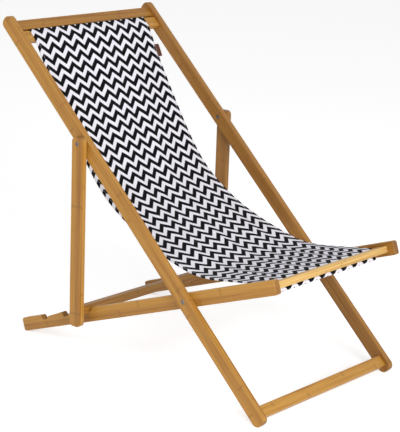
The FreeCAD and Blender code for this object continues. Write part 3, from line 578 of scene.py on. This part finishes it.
# %% Middle line of the sling
BAR_WIDTH = 30.0
BAR_DEPTH = 17.0
SLOT = 6.0
CLOTH_THICKNESS = 1.0
SIDE_HEM_THICKNESS = 1.7
ROD_PRESS = 0.25
OVER_BAR = 1.15
STAND_OFF = BAR_DEPTH / 2 + OVER_BAR
TURN_RADIUS = 2.2
HEM_SPLIT = 7.6
HEM_MIDDLE = 15.4
HEM_RADIUS = 5.9
FLAP_TOP = 1.0
FLAP_SHIFT = 1.1
LOOP_STEPS = 28
TURN_STEPS = 5
HANG_STEP = 7.0
SLING_SAG = [(0.12, 67), (0.312, 156), (0.42, 190), (0.52, 197.5), (0.617, 189),
             (0.714, 169), (0.802, 142), (0.857, 111), (0.916, 67)]


def hem_path(slot_sign):
    """Path from a hem's loose end to the top of the sling bar: (reach, rise) from the slot.

    The loose end lies on the sling bar's side, so the print stays outside all round the rod.
    """
    opening = math.acos(HEM_RADIUS / (HEM_MIDDLE - HEM_SPLIT))
    path = [(-slot_sign * FLAP_SHIFT, -FLAP_TOP), (-slot_sign * FLAP_SHIFT, -HEM_SPLIT)]
    sweep = 2 * math.pi - 2 * opening
    for step in range(LOOP_STEPS + 1):
        angle = opening + sweep * step / LOOP_STEPS
        path.append((-slot_sign * HEM_RADIUS * math.sin(angle),
                     -HEM_MIDDLE + HEM_RADIUS * math.cos(angle)))
    path.append((0.0, -HEM_SPLIT))
    path.append((0.0, 0.0))
    for step in range(TURN_STEPS + 1):
        angle = math.pi / 2 * step / TURN_STEPS
        path.append((-slot_sign * TURN_RADIUS * (1 - math.cos(angle)),
                     STAND_OFF - TURN_RADIUS * (1 - math.sin(angle))))
    return path


def sag_points(start, end):
    """Points of the hanging cloth from start to end, in mm, at its measured depths."""
    chord = end - start
    ahead = chord.normalized()
    behind = Vector((-ahead.y, ahead.x))
    points = [start]
    for share, sag in SLING_SAG:
        points.append(start + share * chord + sag * behind)
    points.append(end)
    return points


def smooth_through(points):
    """Cubic curve through the points, sampled about every HANG_STEP."""
    headings = [(points[1] - points[0]).normalized()]
    for before, after in zip(points, points[2:]):
        headings.append((after - before).normalized())
    headings.append((points[-1] - points[-2]).normalized())
    samples = [points[0]]
    for index in range(len(points) - 1):
        first, last = points[index], points[index + 1]
        span = (last - first).length
        count = max(2, round(span / HANG_STEP))
        for step in range(1, count + 1):
            t = step / count
            start_share = 2 * t ** 3 - 3 * t ** 2 + 1
            end_share = 3 * t ** 2 - 2 * t ** 3
            start_pull = (t ** 3 - 2 * t ** 2 + t) * span
            end_pull = (t ** 3 - t ** 2) * span
            samples.append(start_share * first + end_share * last
                           + start_pull * headings[index] + end_pull * headings[index + 1])
    return samples


def in_plane(slope, reach, rise):
    """A point on a frame as a 2-D vector in mm."""
    y, z = on_frame(slope, reach, rise)
    return Vector((y / MM, z / MM))


def sling_path():
    """Middle line of the whole strip in mm, and where the hanging stretch starts and ends."""
    head_slot = reach_of("top_sling_bar", MAIN_SLOPE) + (BAR_WIDTH + SLOT) / 2
    front_slot = reach_of("front_sling_bar", SEAT_SLOPE) - (BAR_WIDTH + SLOT) / 2
    head = [in_plane(MAIN_SLOPE, head_slot + reach, rise) for reach, rise in hem_path(1)]
    front = [in_plane(SEAT_SLOPE, front_slot + reach, rise) for reach, rise in hem_path(-1)]
    bar_edge = in_plane(MAIN_SLOPE, head_slot - SLOT / 2 - BAR_WIDTH, STAND_OFF)
    hang = smooth_through(sag_points(bar_edge, front[-1]))
    path = head + [head[-1].lerp(bar_edge, 0.5)] + hang + front[-2::-1]
    start = len(head) + 1
    return path, start, start + len(hang) - 1


SLING_PATH, HANG_START, HANG_END = sling_path()
lengths = [0.0]
for before, after in zip(SLING_PATH, SLING_PATH[1:]):
    lengths.append(lengths[-1] + (after - before).length)
ALONG = [length - lengths[HANG_START] for length in lengths]

# %% [markdown]
# The strip is 435 mm wide where it is flat. Hung up, the sides pull in by some 20 mm at the
# back, as any cloth held at two ends does. Its edges follow the photograph, which makes the
# seat up to 8 mm wider than the flat strip. Each side has a narrow double hem turned to the
# underside, so the mesh is a closed shell: a front face, and a back face that steps down along
# both sides. Faint lengthwise ripples, drawn from a few sine waves, keep it from looking stiff.

# %% Sling mesh
CLOTH_WIDTH = 435.0
SIDE_HEM = 11.0
HEM_STEP = 0.8
EDGE_STEP = 0.8
EDGES = [(-90, -221, 209), (0, -222, 209), (180, -213, 210), (380, -205, 211),
         (560, -208, 213), (760, -221, 217), (940, -226, 217), (1120, -223, 213)]
COLUMNS = 54
RIPPLES = [(0.9, 118.0, 640.0, 0.4), (0.6, 61.0, 410.0, 2.1), (0.35, 33.0, 230.0, 4.4)]
RIPPLE_FADE = 70.0
RIPPLE_AT_SIDES = 0.35


def smooth_share(share):
    """Share from 0 to 1 with soft ends."""
    share = min(max(share, 0.0), 1.0)
    return share * share * (3 - 2 * share)


def edges_at(along):
    """X of the sling's left and right edges in mm at a length along the hanging cloth."""
    if along <= EDGES[0][0]:
        return EDGES[0][1:]
    for (start, left, right), (end, next_left, next_right) in zip(EDGES, EDGES[1:]):
        if along <= end:
            share = smooth_share((along - start) / (end - start))
            return (left + share * (next_left - left), right + share * (next_right - right))
    return EDGES[-1][1:]


def ripple(across, along):
    """Height in mm of the cloth's faint waves: none at the bars, low at the side hems."""
    ends = min(along, ALONG[HANG_END] - along) / RIPPLE_FADE
    sides = (CLOTH_WIDTH / 2 - abs(across)) / RIPPLE_FADE
    height = 0.0
    for size, across_wave, along_wave, start in RIPPLES:
        height += size * math.sin(2 * math.pi * (across / across_wave + along / along_wave)
                                  + start)
    from_sides = RIPPLE_AT_SIDES + (1 - RIPPLE_AT_SIDES) * smooth_share(sides)
    return height * smooth_share(ends) * from_sides


def front_normals(path):
    """Unit normals of the path towards the sitter."""
    normals = []
    for index in range(len(path)):
        before = path[max(index - 1, 0)]
        after = path[min(index + 1, len(path) - 1)]
        ahead = (after - before).normalized()
        normals.append(Vector((ahead.y, -ahead.x)))
    return normals


def column_places():
    """Places across the flat cloth in mm, with close pairs at the step of each side hem."""
    half = CLOTH_WIDTH / 2
    inner = half - SIDE_HEM
    places = [-half, -half + EDGE_STEP, -inner, -inner + HEM_STEP]
    run = 2 * (inner - HEM_STEP)
    for step in range(1, COLUMNS):
        places.append(-inner + HEM_STEP + run * step / COLUMNS)
    return places + [-place for place in places[3::-1]]


PLACES = column_places()
NORMALS = front_normals(SLING_PATH)


def cloth_point(row, across, rise):
    """Point in metres above the cloth's middle line: across is on the flat cloth, in mm."""
    left, right = edges_at(ALONG[row])
    share = across / CLOTH_WIDTH + 0.5
    lift = rise
    if HANG_START <= row <= HANG_END:
        lift += ripple(across, ALONG[row])
    place = SLING_PATH[row] + lift * NORMALS[row]
    return ((left + share * (right - left)) * MM, place.x * MM, place.y * MM)


def underside(row, across):
    """How far below its middle the cloth's back face lies, deeper under the side hems."""
    inner = CLOTH_WIDTH / 2 - SIDE_HEM
    share = smooth_share((abs(across) - inner + HEM_STEP) / HEM_STEP)
    pressed = 1.0 if HANG_START <= row <= HANG_END else ROD_PRESS
    return CLOTH_THICKNESS / 2 + share * pressed * (SIDE_HEM_THICKNESS - CLOTH_THICKNESS)


def shell(name, front, back, flat):
    """Closed shell between two grids of points, with a UV map that holds the flat cloth's metres."""
    rows, columns = len(front), len(front[0])
    points = [point for grid in (front, back) for row in grid for point in row]
    under = rows * columns
    faces = []
    for row in range(rows - 1):
        for column in range(columns - 1):
            a = row * columns + column
            b, c, d = a + 1, a + columns + 1, a + columns
            faces.append((a, d, c, b))
            faces.append((under + a, under + b, under + c, under + d))
        first = row * columns
        last = first + columns - 1
        faces.append((first, under + first, under + first + columns, first + columns))
        faces.append((last, last + columns, under + last + columns, under + last))
    for column in range(columns - 1):
        end = (rows - 1) * columns + column
        faces.append((column, column + 1, under + column + 1, under + column))
        faces.append((end, under + end, under + end + 1, end + 1))
    mesh = bpy.data.meshes.new(name)
    mesh.from_pydata(points, [], faces)
    uv = mesh.uv_layers.new(name="flat_cloth")
    for loop in mesh.loops:
        row, column = divmod(loop.vertex_index % under, columns)
        uv.data[loop.index].uv = flat[row][column]
    mesh.shade_smooth()
    made = bpy.data.objects.new(name, mesh)
    bpy.context.scene.collection.objects.link(made)
    return made


def build_sling():
    """The sling, from the loose end of one hem to that of the other."""
    front, back, flat = [], [], []
    for row in range(len(SLING_PATH)):
        front.append([cloth_point(row, across, CLOTH_THICKNESS / 2) for across in PLACES])
        back.append([cloth_point(row, across, -underside(row, across)) for across in PLACES])
        flat.append([(across * MM, ALONG[row] * MM) for across in PLACES])
    return shell("sling", front, back, flat)


SLING = build_sling()
print("sling faces:", len(SLING.data.polygons))

# %% [markdown]
# The cloth is cotton canvas in a plain weave, printed with rows of black zigzags. A picture of
# the print would do, but a rule is sharper: a triangle wave across the cloth shifts the rows up
# and down, and each row is black where its distance from the row's middle is large. The UV map
# holds real metres of flat cloth, so the print narrows with the cloth where the sides pull in.
# Both faces have the one material, so the print shows through at full strength.
# The threads are 0.5 mm apart; they are drawn twice as coarse, so that they show at all.

# %% Printed canvas
PRINT_PITCH = 44.3 * MM
PRINT_ROW = 30.0 * MM
PRINT_RISE = 21.5 * MM
PRINT_PEAK = 14.7 * MM
PRINT_START = 3.5 * MM
PRINT_WHITE = 0.475
PRINT_BLEED = 0.02
THREAD = 1.1 * MM
SLUB_SIZE = 3.0 * MM
SLUB_DETAIL = 3.0
SLUB_SPAN = (0.35, 0.75)
SLUB_STRENGTH = 0.8
COTTON_TONES = ("#f1eff6", "#dfdce8")
PRINT_TONES = ("#050508", "#0f0f14")
CANVAS_ROUGHNESS = 0.92
CANVAS_GLOSS = 0.12
CANVAS_BUMP = 0.35
CANVAS_HEIGHT = 0.12 * MM


def cloth_axes(tree):
    """Sockets for the places on the flat cloth in metres: both, across, and along."""
    uv = add_node(tree, "ShaderNodeUVMap", uv_map="flat_cloth").outputs[0]
    split = add_node(tree, "ShaderNodeSeparateXYZ", {0: uv}).outputs
    return uv, split["X"], split["Y"]


def weave_height(tree, across, along, thread):
    """Height of a plain weave: threads that rise where the crossing ones sink."""
    turns = 2 * math.pi / thread
    waves = {}
    for index, axis in enumerate((across, along)):
        angle = add_node(tree, "ShaderNodeMath", {0: axis, 1: turns}, operation="MULTIPLY")
        waves[index] = add_node(tree, "ShaderNodeMath", {0: angle}, operation="SINE")
    return add_node(tree, "ShaderNodeMath", waves, operation="MULTIPLY")


def zigzag_share(tree, across, along):
    """1 where the print leaves the cloth white and 0 where it is black."""
    slope = PRINT_RISE / (PRINT_PITCH / 2)
    shifted = add_node(tree, "ShaderNodeMath", {0: across, 1: PRINT_PEAK}, operation="SUBTRACT")
    wave = add_node(tree, "ShaderNodeMath", {0: shifted, 1: PRINT_PITCH / 2},
                    operation="PINGPONG")
    drop = add_node(tree, "ShaderNodeMath", {0: wave, 1: slope}, operation="MULTIPLY")
    start = add_node(tree, "ShaderNodeMath", {0: along, 1: PRINT_START}, operation="SUBTRACT")
    place = add_node(tree, "ShaderNodeMath", {0: start, 1: drop}, operation="SUBTRACT")
    rows = add_node(tree, "ShaderNodeMath", {0: place, 1: PRINT_ROW}, operation="DIVIDE")
    from_middle = add_node(tree, "ShaderNodeMath", {0: rows, 1: 0.5}, operation="PINGPONG")
    edge = PRINT_WHITE / 2
    inputs = {0: from_middle, 1: edge - PRINT_BLEED, 2: edge + PRINT_BLEED, 3: 1.0, 4: 0.0}
    return add_node(tree, "ShaderNodeMapRange", inputs)


def printed_canvas():
    """Cotton canvas with a black zigzag print: matt, softly fuzzy, slightly lavender white."""
    material, tree, shader = new_material("printed cotton canvas", Roughness=CANVAS_ROUGHNESS,
                                          Specular_IOR_Level=CANVAS_GLOSS)
    uv, across, along = cloth_axes(tree)
    inputs = {"Vector": uv, "Scale": 1.0 / SLUB_SIZE, "Detail": SLUB_DETAIL}
    slub = add_node(tree, "ShaderNodeTexNoise", inputs)
    inputs = {0: slub, 1: SLUB_SPAN[0], 2: SLUB_SPAN[1], 3: 0.0, 4: SLUB_STRENGTH}
    slub_share = add_node(tree, "ShaderNodeMapRange", inputs)
    mixes = []
    for first, second in (PRINT_TONES, COTTON_TONES):
        inputs = {0: slub_share, 6: linear(first), 7: linear(second)}
        mixes.append(add_node(tree, "ShaderNodeMix", inputs, data_type="RGBA").outputs[2])
    inputs = {0: zigzag_share(tree, across, along), 6: mixes[0], 7: mixes[1]}
    body = add_node(tree, "ShaderNodeMix", inputs, data_type="RGBA")
    tree.links.new(body.outputs[2], shader.inputs["Base Color"])
    weave = weave_height(tree, across, along, THREAD)
    height = add_node(tree, "ShaderNodeMath", {0: weave, 1: slub}, operation="ADD")
    inputs = {"Height": height, "Strength": CANVAS_BUMP, "Distance": CANVAS_HEIGHT}
    bump = add_node(tree, "ShaderNodeBump", inputs)
    tree.links.new(bump.outputs[0], shader.inputs["Normal"])
    return material


SLING.data.materials.append(printed_canvas())

# %% [markdown]
# The tab is a short piece of brown tape, folded over and caught in the side hem near the head.
# It is bare here. A folded strip is a shell again: its path runs over the cloth, round the fold
# and back under the cloth.

# %% Label tab
TAB_START = 52.0
TAB_LENGTH = 36.0
TAB_REACH = 14.0
TAB_TUCK = 4.0
TAB_TAPE = 0.45
TAB_ROWS = 10
TAB_BOW = 0.8
TAB_NOSE = 0.55
TAB_NOSE_DEPTH = 0.6
TAB_NOSE_INSET = 0.8
TAB_NOSE_START = 1.5
TAB_LEAVES_CLOTH = 2.5
TAB_CLOSED = 6.0
TAB_EASE_ABOVE = 0.75
TAB_EASE_BELOW = 1.2
TAPE_THREAD = 1.3 * MM
TAPE_ROUGHNESS = 0.8
TAPE_WEAR = 2.5 * MM
TAPE_WEAR_DETAIL = 2.0
TAPE_WEAR_SPAN = (0.3, 0.9)
# The tape's colour follows the weave's height: painted shade where threads sink, painted highlight
# on their crowns.
TAPE_RIB_SHADE_SHARE = 0.25
TAPE_TONES_WITH_RIB_SHADE = ("#4a2715", "#6b3d22")
TAPE_BUMP = 0.4
TAPE_HEIGHT = 0.15 * MM


def row_at(along):
    """Number of the path's point that lies nearest to a length along the hanging cloth."""
    return min(range(HANG_START, HANG_END), key=lambda row: abs(ALONG[row] - along))


def tab_fold():
    """(out, rise) points round the folded tape, from its end on the cloth to its end below."""
    above, below = CLOTH_THICKNESS / 2 + TAB_TAPE, -SIDE_HEM_THICKNESS - TAB_TAPE / 2
    path = [(-TAB_TUCK, above), (-TAB_TUCK / 2, above), (0.0, above)]
    path += [(TAB_LEAVES_CLOTH, TAB_EASE_ABOVE), (TAB_CLOSED, TAB_NOSE)]
    path.append((TAB_REACH - TAB_NOSE_START, TAB_NOSE))
    for degrees in (60, 30, 0, -30, -60):
        angle = math.radians(degrees)
        path.append((TAB_REACH - TAB_NOSE_INSET + TAB_NOSE_DEPTH * math.cos(angle),
                     TAB_NOSE * math.sin(angle)))
    path += [(TAB_REACH - TAB_NOSE_START, -TAB_NOSE), (TAB_CLOSED, -TAB_NOSE)]
    return path + [(TAB_LEAVES_CLOTH, -TAB_EASE_BELOW), (0.0, below), (-TAB_TUCK, below)]


def build_tab():
    """The folded tape on the sling's right edge."""
    fold = tab_fold()
    row = row_at(TAB_START)
    place, normal = SLING_PATH[row], NORMALS[row]
    ahead = (SLING_PATH[row + 1] - place).normalized()
    outward = []
    for index in range(len(fold)):
        before = Vector(fold[max(index - 1, 0)])
        after = Vector(fold[min(index + 1, len(fold) - 1)])
        run = (after - before).normalized()
        outward.append(Vector((-run.y, run.x)))
    front, back, flat = [], [], []
    for step in range(TAB_ROWS + 1):
        along = TAB_LENGTH * step / TAB_ROWS
        bow = TAB_BOW * math.sin(math.pi * step / TAB_ROWS)
        edge = edges_at(TAB_START + along)[1]
        rows = ([], [])
        for point, out in zip(fold, outward):
            for grid, half in zip(rows, (TAB_TAPE / 2, -TAB_TAPE / 2)):
                reach = point[0] + half * out.x
                rise = point[1] + half * out.y + bow * max(reach, 0.0) / TAB_REACH
                spot = place + along * ahead + rise * normal
                grid.append(((edge + reach) * MM, spot.x * MM, spot.y * MM))
        front.append(rows[0])
        back.append(rows[1])
        flat.append([(point[0] * MM, along * MM) for point in fold])
    return shell("brown_tab", front, back, flat)


def brown_tape():
    """Brown woven tape: matt, with a fine ribbed weave, painted shade where its threads sink, and a
    little wear on its threads.
    """
    material, tree, shader = new_material("brown woven tape", Roughness=TAPE_ROUGHNESS)
    uv, across, along = cloth_axes(tree)
    weave = weave_height(tree, across, along, TAPE_THREAD)
    inputs = {"Vector": uv, "Scale": 1.0 / TAPE_WEAR, "Detail": TAPE_WEAR_DETAIL}
    wear = add_node(tree, "ShaderNodeTexNoise", inputs)
    rib_shade = add_node(tree, "ShaderNodeMath", {0: weave, 1: TAPE_RIB_SHADE_SHARE}, operation="MULTIPLY")
    joined = add_node(tree, "ShaderNodeMath", {0: rib_shade, 1: wear}, operation="ADD")
    low, high = TAPE_WEAR_SPAN
    share = add_node(tree, "ShaderNodeMapRange", {0: joined, 1: low, 2: high})
    inputs = {0: share, 6: linear(TAPE_TONES_WITH_RIB_SHADE[0]), 7: linear(TAPE_TONES_WITH_RIB_SHADE[1])}
    body = add_node(tree, "ShaderNodeMix", inputs, data_type="RGBA")
    tree.links.new(body.outputs[2], shader.inputs["Base Color"])
    inputs = {"Height": weave, "Strength": TAPE_BUMP, "Distance": TAPE_HEIGHT}
    bump = add_node(tree, "ShaderNodeBump", inputs)
    tree.links.new(bump.outputs[0], shader.inputs["Normal"])
    return material


TAB = build_tab()
TAB.data.materials.append(brown_tape())
print("tab faces:", len(TAB.data.polygons))

# %% [markdown]
# Hems are sewn with a lockstitch: a row of short stitches, one like the other. That is work for
# Geometry Nodes. The sewing lines are edges laid on the cloth, the tree walks along them, sets
# one small rounded stitch every 3.6 mm and turns it along the line. The rows run down both side
# hems, across both rod hems and along the tab.

# %% Stitches
STITCH_SPACING = 3.6
STITCH_LENGTH = 2.7
THREAD_RADIUS = 0.32
SEAM_INSET = 9.0
SEAM_LIFT = 0.12
ROD_SEAM_ROW = LOOP_STEPS + 3
TAB_SEAM = -2.2
TAB_SEAM_RISE = CLOTH_THICKNESS / 2 + 1.5 * TAB_TAPE + SEAM_LIFT
BEAD_SEGMENTS = 6
BEAD_RINGS = 4
TWIST_SIZE = 0.8 * MM
TWIST_TONES = ("#d9d6de", "#f3f1f6")
THREAD_ROUGHNESS = 0.6


def sewing_lines():
    """Lines of points in metres for the stitches: those of the sling, and that of the tab.

    The rod hems are sewn where their two layers meet, ROD_SEAM_ROW from either loose end.
    """
    lines = []
    hanging = range(HANG_START, HANG_END + 1)
    rise = CLOTH_THICKNESS / 2 + SEAM_LIFT
    for across in (-CLOTH_WIDTH / 2 + SEAM_INSET, CLOTH_WIDTH / 2 - SEAM_INSET):
        lines.append([cloth_point(row, across, rise) for row in hanging])
    for row in (ROD_SEAM_ROW, len(SLING_PATH) - 1 - ROD_SEAM_ROW):
        lines.append([cloth_point(row, across, rise) for across in PLACES[2:-2]])
    tab_line = []
    row = row_at(TAB_START)
    ahead = (SLING_PATH[row + 1] - SLING_PATH[row]).normalized()
    for step in range(TAB_ROWS + 1):
        along = TAB_LENGTH * step / TAB_ROWS
        spot = SLING_PATH[row] + along * ahead + TAB_SEAM_RISE * NORMALS[row]
        tab_line.append(((edges_at(TAB_START + along)[1] + TAB_SEAM) * MM, spot.x * MM,
                         spot.y * MM))
    return lines, tab_line


def stitch_tree(material):
    """Geometry Nodes that set stitches along every edge line of a mesh."""
    tree = bpy.data.node_groups.new("row of stitches", "GeometryNodeTree")
    tree.interface.new_socket("Geometry", in_out="INPUT", socket_type="NodeSocketGeometry")
    for name in ("Spacing", "Length", "Radius"):
        tree.interface.new_socket(name, in_out="INPUT", socket_type="NodeSocketFloat")
    tree.interface.new_socket("Geometry", in_out="OUTPUT", socket_type="NodeSocketGeometry")
    given = add_node(tree, "NodeGroupInput").outputs
    curve = add_node(tree, "GeometryNodeMeshToCurve", {"Mesh": given["Geometry"]})
    spaced = add_node(tree, "GeometryNodeResampleCurve",
                      {"Curve": curve, "Length": given["Spacing"]}, mode="LENGTH")
    tangent = add_node(tree, "GeometryNodeInputTangent")
    turned = add_node(tree, "FunctionNodeAlignRotationToVector", {"Vector": tangent}, axis="Z")
    inputs = {"Segments": BEAD_SEGMENTS, "Rings": BEAD_RINGS, "Radius": 1.0}
    bead = add_node(tree, "GeometryNodeMeshUVSphere", inputs)
    half = add_node(tree, "ShaderNodeMath", {0: given["Length"], 1: 0.5}, operation="MULTIPLY")
    scale = add_node(tree, "ShaderNodeCombineXYZ",
                     {0: given["Radius"], 1: given["Radius"], 2: half})
    inputs = {"Points": spaced, "Instance": bead, "Rotation": turned, "Scale": scale}
    placed = add_node(tree, "GeometryNodeInstanceOnPoints", inputs)
    real = add_node(tree, "GeometryNodeRealizeInstances", {0: placed})
    finished = add_node(tree, "GeometryNodeSetMaterial", {"Geometry": real, "Material": material})
    add_node(tree, "NodeGroupOutput", {0: finished})
    return tree


def sewn(name, lines, material):
    """Mesh object of stitches along the lines."""
    points, edges = [], []
    for line in lines:
        first = len(points)
        points += line
        edges += [(first + step, first + step + 1) for step in range(len(line) - 1)]
    mesh = bpy.data.meshes.new(name)
    mesh.from_pydata(points, edges, [])
    guide = bpy.data.objects.new(name + "_guide", mesh)
    bpy.context.scene.collection.objects.link(guide)
    modifier = guide.modifiers.new("stitches", "NODES")
    modifier.node_group = stitch_tree(material)
    sizes = {"Spacing": STITCH_SPACING, "Length": STITCH_LENGTH, "Radius": THREAD_RADIUS}
    for socket in modifier.node_group.interface.items_tree:
        if socket.in_out == "INPUT" and socket.name in sizes:
            modifier[socket.identifier] = sizes[socket.name] * MM
    evaluated = guide.evaluated_get(bpy.context.evaluated_depsgraph_get())
    made = bpy.data.objects.new(name, bpy.data.meshes.new_from_object(evaluated))
    bpy.context.scene.collection.objects.link(made)
    guide.modifiers.remove(modifier)
    bpy.data.objects.remove(guide)
    made.data.shade_smooth()
    return made


def cotton_thread():
    """White sewing thread: polyester-wrapped cotton with a slight gloss and a fine twist."""
    material, tree, shader = new_material("white sewing thread", Roughness=THREAD_ROUGHNESS)
    coordinates = add_node(tree, "ShaderNodeTexCoord").outputs["Object"]
    inputs = {"Vector": coordinates, "Scale": 1.0 / TWIST_SIZE, "Detail": 1.0}
    twist = add_node(tree, "ShaderNodeTexNoise", inputs)
    low, high = NOISE_SPAN
    share = add_node(tree, "ShaderNodeMapRange", {0: twist, 1: low, 2: high})
    inputs = {0: share, 6: linear(TWIST_TONES[0]), 7: linear(TWIST_TONES[1])}
    body = add_node(tree, "ShaderNodeMix", inputs, data_type="RGBA")
    tree.links.new(body.outputs[2], shader.inputs["Base Color"])
    return material


THREAD_FINISH = cotton_thread()
CLOTH_SEAMS, TAB_SEAM_LINE = sewing_lines()
STITCHES = sewn("hem_stitches", CLOTH_SEAMS, THREAD_FINISH)
TAB_STITCHES = sewn("tab_stitches", [TAB_SEAM_LINE], THREAD_FINISH)
print("stitch faces:", len(STITCHES.data.polygons) + len(TAB_STITCHES.data.polygons))

# %% [markdown]
# The sling hangs from the main frame at the head and from the seat frame at the front. It and its
# stitches stay where they are drawn, with their transforms baked into their meshes. The tab sits
# near the head and moves with the main frame. The frame's own sling and tab are hidden.

# %% Place the pieces on the frame
for piece in (SLING, STITCHES):
    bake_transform(piece)
for piece in (TAB, TAB_STITCHES):
    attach(piece, "main_frame")
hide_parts("sling_fabric")
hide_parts("label_tab")
